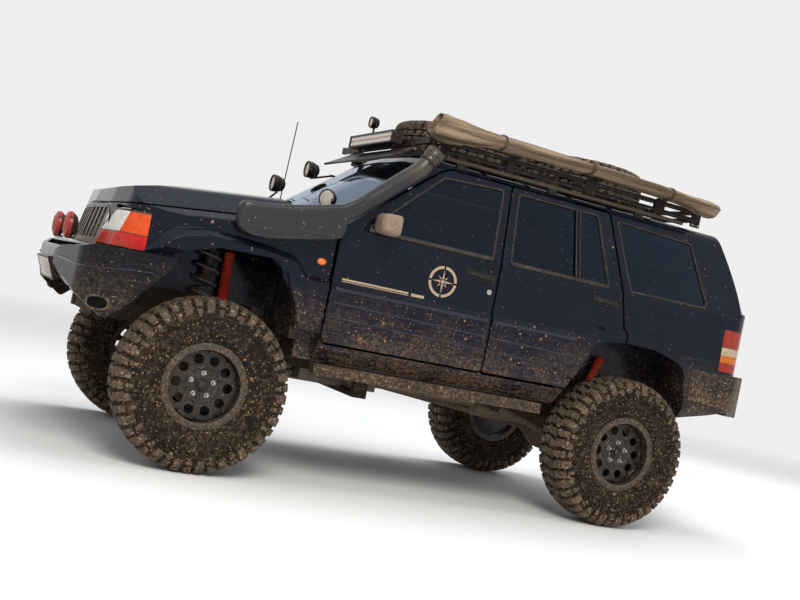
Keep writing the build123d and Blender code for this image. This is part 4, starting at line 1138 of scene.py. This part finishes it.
def tucked(ring, step):
    """Rings that close an end of the roll, folded inward."""
    middle = sum(ring, Vector()) / len(ring)
    return [[middle + (p - middle) * share + Vector((step * depth, 0, 0)) for p in ring]
            for share, depth in ((0.93, 0.004), (0.86, 0.11), (0.55, 0.13))]


def make_awning():
    """Canvas roll along the rack: peaked and hollow at the front, creased along its length, with straps."""
    shape = Shape()
    line = smooth_stations(awning_rings, 6)
    roll_y, squareness = -804, 2.5
    rings = []
    for top_x, top_z, low_x, low_z, half in line:
        centre = place((top_x + low_x) / 2, roll_y, (top_z + low_z) / 2)
        upward = Vector((top_x - low_x, 0, top_z - low_z))
        loop = superellipse(centre, upward.normalized(), Y, upward.length / 2, half, squareness, 36)
        rings.append([crumpled(point, centre) for point in loop])
    shape.rings(tucked(rings[0], 1)[::-1] + rings + tucked(rings[-1], -1))
    bag = shape.make("awning_roll", "canvas", smooth=60, replaces="awning_bag")
    smooth = bag.modifiers.new("smooth", "SUBSURF")
    smooth.levels = smooth.render_levels = 1
    straps = Shape()
    half = Vector((8 * MM, 0, 0))
    for x in (1480, 2110, 2720):
        top_x, top_z, low_x, low_z, wide = min(line, key=lambda s: abs((s[0] + s[2]) / 2 - x))
        centre, tall = place(x, roll_y, (top_z + low_z) / 2), (top_z - low_z) / 2
        inner, outer = [superellipse(centre, Z, Y, tall + out, wide + out, squareness, 40)
                        for out in (-4, 0.5)]
        straps.rings([[p - half, q - half, q + half, p + half] for p, q in zip(inner, outer)], loop=True)
    straps.make("awning_straps", "strap", smooth=50)


def make_spares():
    """Two spare wheels lying on the rack; the front pieces replace both of the model's own."""
    for name, x, y, z, radius, half_width, bead, seed in (("front", 1628, 20, 1772.5, 450, 115, 205, 11),
                                                         ("rear", aft(-131), 40, 1783.5, 465, 126, 216, 12)):
        centre = place(x, y, z)
        first = name == "front"
        spare = tyre(centre, radius, half_width, bead, seed, axis=Z)
        spare.make(f"spare_tyre_{name}", "tyre_rubber", "tyre_lug", smooth=35, slotted=True,
                   replaces="spare_tyres" if first else "")
        rim = wheel(centre, 1, lying=True, scale=(bead - 1) / 215)
        rim.make(f"spare_wheel_{name}", "wheel_black", "bare_metal", "bead_ring", smooth=35, slotted=True,
                 replaces="spare_rims" if first else "")


def make_light_bar():
    """Finned housing with two rows of lamps behind one amber-tinted lens."""
    shape = Shape()
    x, z, half = 1020, 1702, 350
    fin_pitch, lamp_pitch, row = 40, 33, 15
    shape.box(place(x + 8, 0, z), (52, 2 * half - 24, 62))
    for level in (z + 34, z - 34):
        shape.box(place(x - 22, 0, level), (40, 2 * half - 12, 8))
    for side in (-1, 1):
        shape.box(place(x - 4, side * (half - 6), z), (76, 12, 76))
        shape.box(place(x + 20, side * (half - 50), z - 44), (26, 30, 16))
    for k in range(-8, 9):
        shape.box(place(x + 38, k * fin_pitch, z), (14, 5, 68))
    shape.box(place(x - 26, 0, z), (6, 2 * half - 30, 58), mark=1)
    dish = [(0, 0), (5, 1), (12, 6), (13, 8), (10, 8), (3, 2), (0, 2)]
    for level in (z - row, z + row):
        for k in range(20):
            shape.revolve(place(x - 29, (k - 9.5) * lamp_pitch, level), (-1, 0, 0), dish, 14, mark=2)
    shape.make("light_bar_detail", "lamp_black", "led_amber", "reflector", smooth=35, replaces="light_bar")


def lamp_head(shape, centre, radius, depth, aim):
    """Round lamp: finned body, bezel, reflector and lens, from shares of its radius and depth."""
    body = [(0, -0.5), (0.45, -0.5), (0.62, -0.42), (0.80, -0.2), (0.94, 0.2), (1, 0.26), (1, 0.44),
            (0.93, 0.5), (0.90, 0.42), (0.60, 0.1), (0, 0)]
    cover = [(0, 0.46), (0.5, 0.44), (0.9, 0.38), (0.9, 0.34), (0, 0.38)]
    for mark, profile in enumerate((body, cover)):
        shape.revolve(centre, aim, [(radius * r, depth * d) for r, d in profile], 40, mark)
    for k in range(5):
        inner, outer = radius * (0.66 + 0.055 * k) - 6, radius * (0.66 + 0.055 * k) + 5
        low, high = -depth * (0.36 - 0.12 * k) - 1.5, -depth * (0.36 - 0.12 * k) + 1.5
        shape.revolve(centre, aim, [(inner, low), (outer, low), (outer, high), (inner, high)], 40)


def make_round_lamps():
    """Lamps at the hood's rear corners, by the pillar's top and over the rack, in yokes on posts."""
    shape = Shape()
    back, pad_from = 4 * MM, 300         # how far the yokes lie back, and the y past which a post has a pad
    for spot, radius, depth, foot, outward in (((540, -700, 1203), 52, 60, (512, -706, 1116), 0.75),
                                               ((640, 625, 1342), 58, 90, (512, 706, 1116), 0),
                                               ((880, 690, 1497), 58, 90, (1040, 716, 1496), 0),
                                               ((1084, 240, 1850), 38, 60, (1084, 240, 1701), 0)):
        centre = place(*spot)
        lamp_head(shape, centre, radius, depth, (-1, -outward, 0))
        left, right = [centre + Vector((0, s * (radius - 2) * MM, 0)) for s in (-1, 1)]
        lower = Vector((back, 0, -radius * 0.75 * MM))
        lowest = centre + Vector((back, 0, -(radius + 2) * MM))
        shape.tube([left, left + lower, lowest, right + lower, right], 5, 8, squash=0.6)
        shape.tube([centre + Vector((back, 0, -(radius - 4) * MM)), place(*foot)], 7, 10)
        if abs(foot[1]) > pad_from:
            shape.box(place(*foot), (34, 46, 10))
    shape.make("round_lamps", "lamp_black", "clear_lens", smooth=35, replaces="auxiliary_lamps")


def make_driving_lamps():
    """Pair of driving lamps on the bumper, with ribbed red covers, clips, feet and leads."""
    shape = Shape()
    x, z, foot_x, foot_z = -735, 766, -722, 696
    aim, clip_radius = (-1, 0, 0), 0.072
    cover = [(0, 35), (30, 34.5), (58, 31), (70, 25), (74, 14), (74, 2), (71, 0), (0, 0)]
    body = [(0, -35), (34, -34), (52, -26), (66, -8), (71, 0), (71, 3), (0, 3)]
    for y in (-240, 240):
        centre = place(x, y, z)
        shape.revolve(centre, aim, cover, 56)
        for r in (24, 46):
            shape.revolve(centre, aim, [(r - 2, 31), (r, 36), (r + 2, 31)], 56)
        shape.revolve(centre, aim, body, 48, mark=1)
        for a in [turn + 0.5 for turn in full_turn(3)]:
            clip = centre + Vector((-0.010, clip_radius * math.cos(a), clip_radius * math.sin(a)))
            shape.box(clip, (20, 10, 10), Matrix.Rotation(a, 3, "X"), mark=1)
        shape.box(place(foot_x, y, foot_z), (36, 46, 12), mark=1)
        shape.tube([place(foot_x, y, foot_z + 4), place(foot_x, y, foot_z + 48)], 8, 10, mark=1)
        lead = [place(x + 35, y, z - 4), place(x + 41, y, z - 36), place(x + 35, y * 0.9, foot_z + 6)]
        shape.tube(lead, 4, 8, mark=1)
    shape.make("driving_lamp_pair", "lamp_red", "lamp_black", smooth=35, replaces="driving_lamps")


def make_springs():
    """Coil springs between their seats, each with a rubber bump stop inside."""
    wire, ease = 9, 14              # the wire's radius, and steps over which an end coil flattens
    foot = axle_high + 65
    shape = Shape()
    for side in (-1, 1):
        for x, y, out, head, turns in ((0, 500, 57, 788, 8.5), (wheelbase, 480, 51, 300, 3.5)):
            low, high = foot + 12, head - 11
            steps = int(turns * 18)
            path = []
            for k in range(steps + 1):
                a = 2 * math.pi * turns * k / steps
                flat = min(k / ease, (steps - k) / ease, 1.0)
                rise = low + (high - low) * k / steps + (flat - 1) * 2
                path.append(place(x + out * math.cos(a), side * (y + out * math.sin(a)), rise))
            shape.tube(path, wire, 8)
            seat = [(20, -3), (out + wire, -3), (out + wire, 3), (20, 3)]
            for z in (low - 9, high + 8):
                shape.revolve(place(x, side * y, z), Z, seat, 28, mark=1)
            stop = [place(x, side * y, z) for z in (high + 6, high - 130, high - 150)]
            shape.tube(stop, [30, 28, 18], 20, mark=1)
    shape.make("coil_turns", "spring_steel", "rubber_black", smooth=50, replaces="coil_springs")


def make_dampers():
    """Telescopic dampers with red bellows."""
    pleats, rod = 22, 12
    # Foot's x and z, head's x and z, distance from the middle, radii of tube and bellows, the tube's share
    front = (136, 60, 106, 800, 488, 24, 32, 0.6)
    rear = (aft(-241), 130, aft(-73), 640, 606, 22, 30, 0.42)
    shape = Shape()
    for side in (-1, 1):
        for foot_x, foot_z, head_x, head_z, y, slim, wide, share in (front, rear):
            foot, head = place(foot_x, side * y, foot_z), place(head_x, side * y, head_z)
            run = (head - foot).length / MM
            axis = (head - foot).normalized()
            start, step = run * share, (run * (1 - share) - 6) / pleats
            shape.revolve(foot, axis, [(0, 0), (slim, 0), (slim, start), (0, start)], 24, mark=1)
            profile = [(rod, start - 4)]
            for k in range(pleats):
                profile += [(wide * 0.74, start + step * k), (wide, start + step * (k + 0.5))]
            profile += [(wide * 0.8, run - 4), (rod, run)]
            shape.revolve(foot, axis, profile, 28, closed=False)
            shape.revolve(foot, Y, [(0, -20), (17, -20), (17, 20), (0, 20)], 20, mark=1)
    shape.make("damper_bellows", "shock_red", "spring_steel", smooth=50, replaces="shock_absorbers")


make_wheels()
make_dust_shields()
dress_nodes()
swell("front_lamps", 7)
make_mirrors()
make_wipers()
make_plates()
make_seats()
make_steering_wheel()
make_rack_details()
make_bumper_details()
make_seals()
make_handles()
make_side_ribs()
make_door_marks()
make_marker_lamps()
make_snorkel()
make_awning()
make_spares()
make_light_bar()
make_round_lamps()
make_driving_lamps()
make_springs()
make_dampers()

# Stage
tone = (0.86, 0.86, 0.855)


def make_floor():
    """Pale floor that fades into the same pale tone far off."""
    half, fade_start, fade_end = 60, 4.0, 14.0
    shape = Shape()
    shape.put([(-half, -half, 0), (half, -half, 0), (half, half, 0), (-half, half, 0)], [(0, 1, 2, 3)])
    floor = bpy.data.objects.new("floor", shape.mesh("floor"))
    bpy.context.scene.collection.objects.link(floor)
    f = Finish("floor_pale")
    far = f.add("VectorMath", operation="LENGTH", i0=f.spot).outputs["Value"]
    f.close(f.mix(f.ramp(far, fade_start, fade_end), f.add("BsdfDiffuse", Color=tone),
                  f.add("Emission", Color=tone, Strength=1.0)))
    floor.data.materials.append(material["floor_pale"])


def make_world():
    """Backdrop of the floor's tone, with a softer and cooler light of its own."""
    bpy.context.scene.world = bpy.data.worlds.new("studio")
    g = Graph(bpy.context.scene.world)
    rays = g.add("LightPath").outputs
    seen = g.most(rays["Is Camera Ray"], rays["Is Transmission Ray"], rays["Is Glossy Ray"])
    light = g.add("Background", Color=(0.93, 0.96, 1.0), Strength=0.55)
    g.add("OutputWorld", Surface=g.mix(seen, light, g.add("Background", Color=tone, Strength=1.0)))


def make_lamps():
    """Soft studio lamps, of which only the key shows in reflections."""
    lamps = [("key", (-2.5, -7.0, 6.5), (0.2, 0, 1.0), 4.5, 520, (1.0, 0.96, 0.90)),
             ("fill", (6.5, 2.5, 4.5), (0.6, 0, 1.0), 4.0, 170, (0.93, 0.96, 1.0)),
             ("top", (0.5, 1.0, 7.0), (0.0, 0, 1.0), 6.0, 320, (1.0, 1.0, 1.0))]
    for name, spot, aim, size, power, colour in lamps:
        data = bpy.data.lights.new(name, "AREA")
        data.shape = "DISK"
        data.size = size
        data.energy = power
        data.color = colour
        lamp = bpy.data.objects.new(name, data)
        bpy.context.scene.collection.objects.link(lamp)
        lamp.location = spot
        lamp.visible_glossy = name == "key"
        lamp.rotation_euler = (Vector(aim) - Vector(spot)).to_track_quat("-Z", "Y").to_euler()


def make_camera():
    """Camera at the photograph's viewing angle, from its right, up and backward directions."""
    right, up = (0.89028, -0.40798, 0.20237), (-0.18903, 0.07323, 0.97924)
    back = (-0.41433, -0.91005, -0.01192)
    data = bpy.data.cameras.new("photo_view")
    data.sensor_width = 36.0
    data.lens = 49.41
    data.clip_end = 200.0
    camera = bpy.data.objects.new("photo_view", data)
    bpy.context.scene.collection.objects.link(camera)
    turn = Matrix((right, up, back)).transposed().to_4x4()
    camera.matrix_world = Matrix.Translation((-2.98666, -6.50534, 1.04437)) @ turn
    bpy.context.scene.camera = camera


make_floor()
make_world()
make_lamps()
make_camera()
bpy.context.scene.view_settings.view_transform = "Standard"
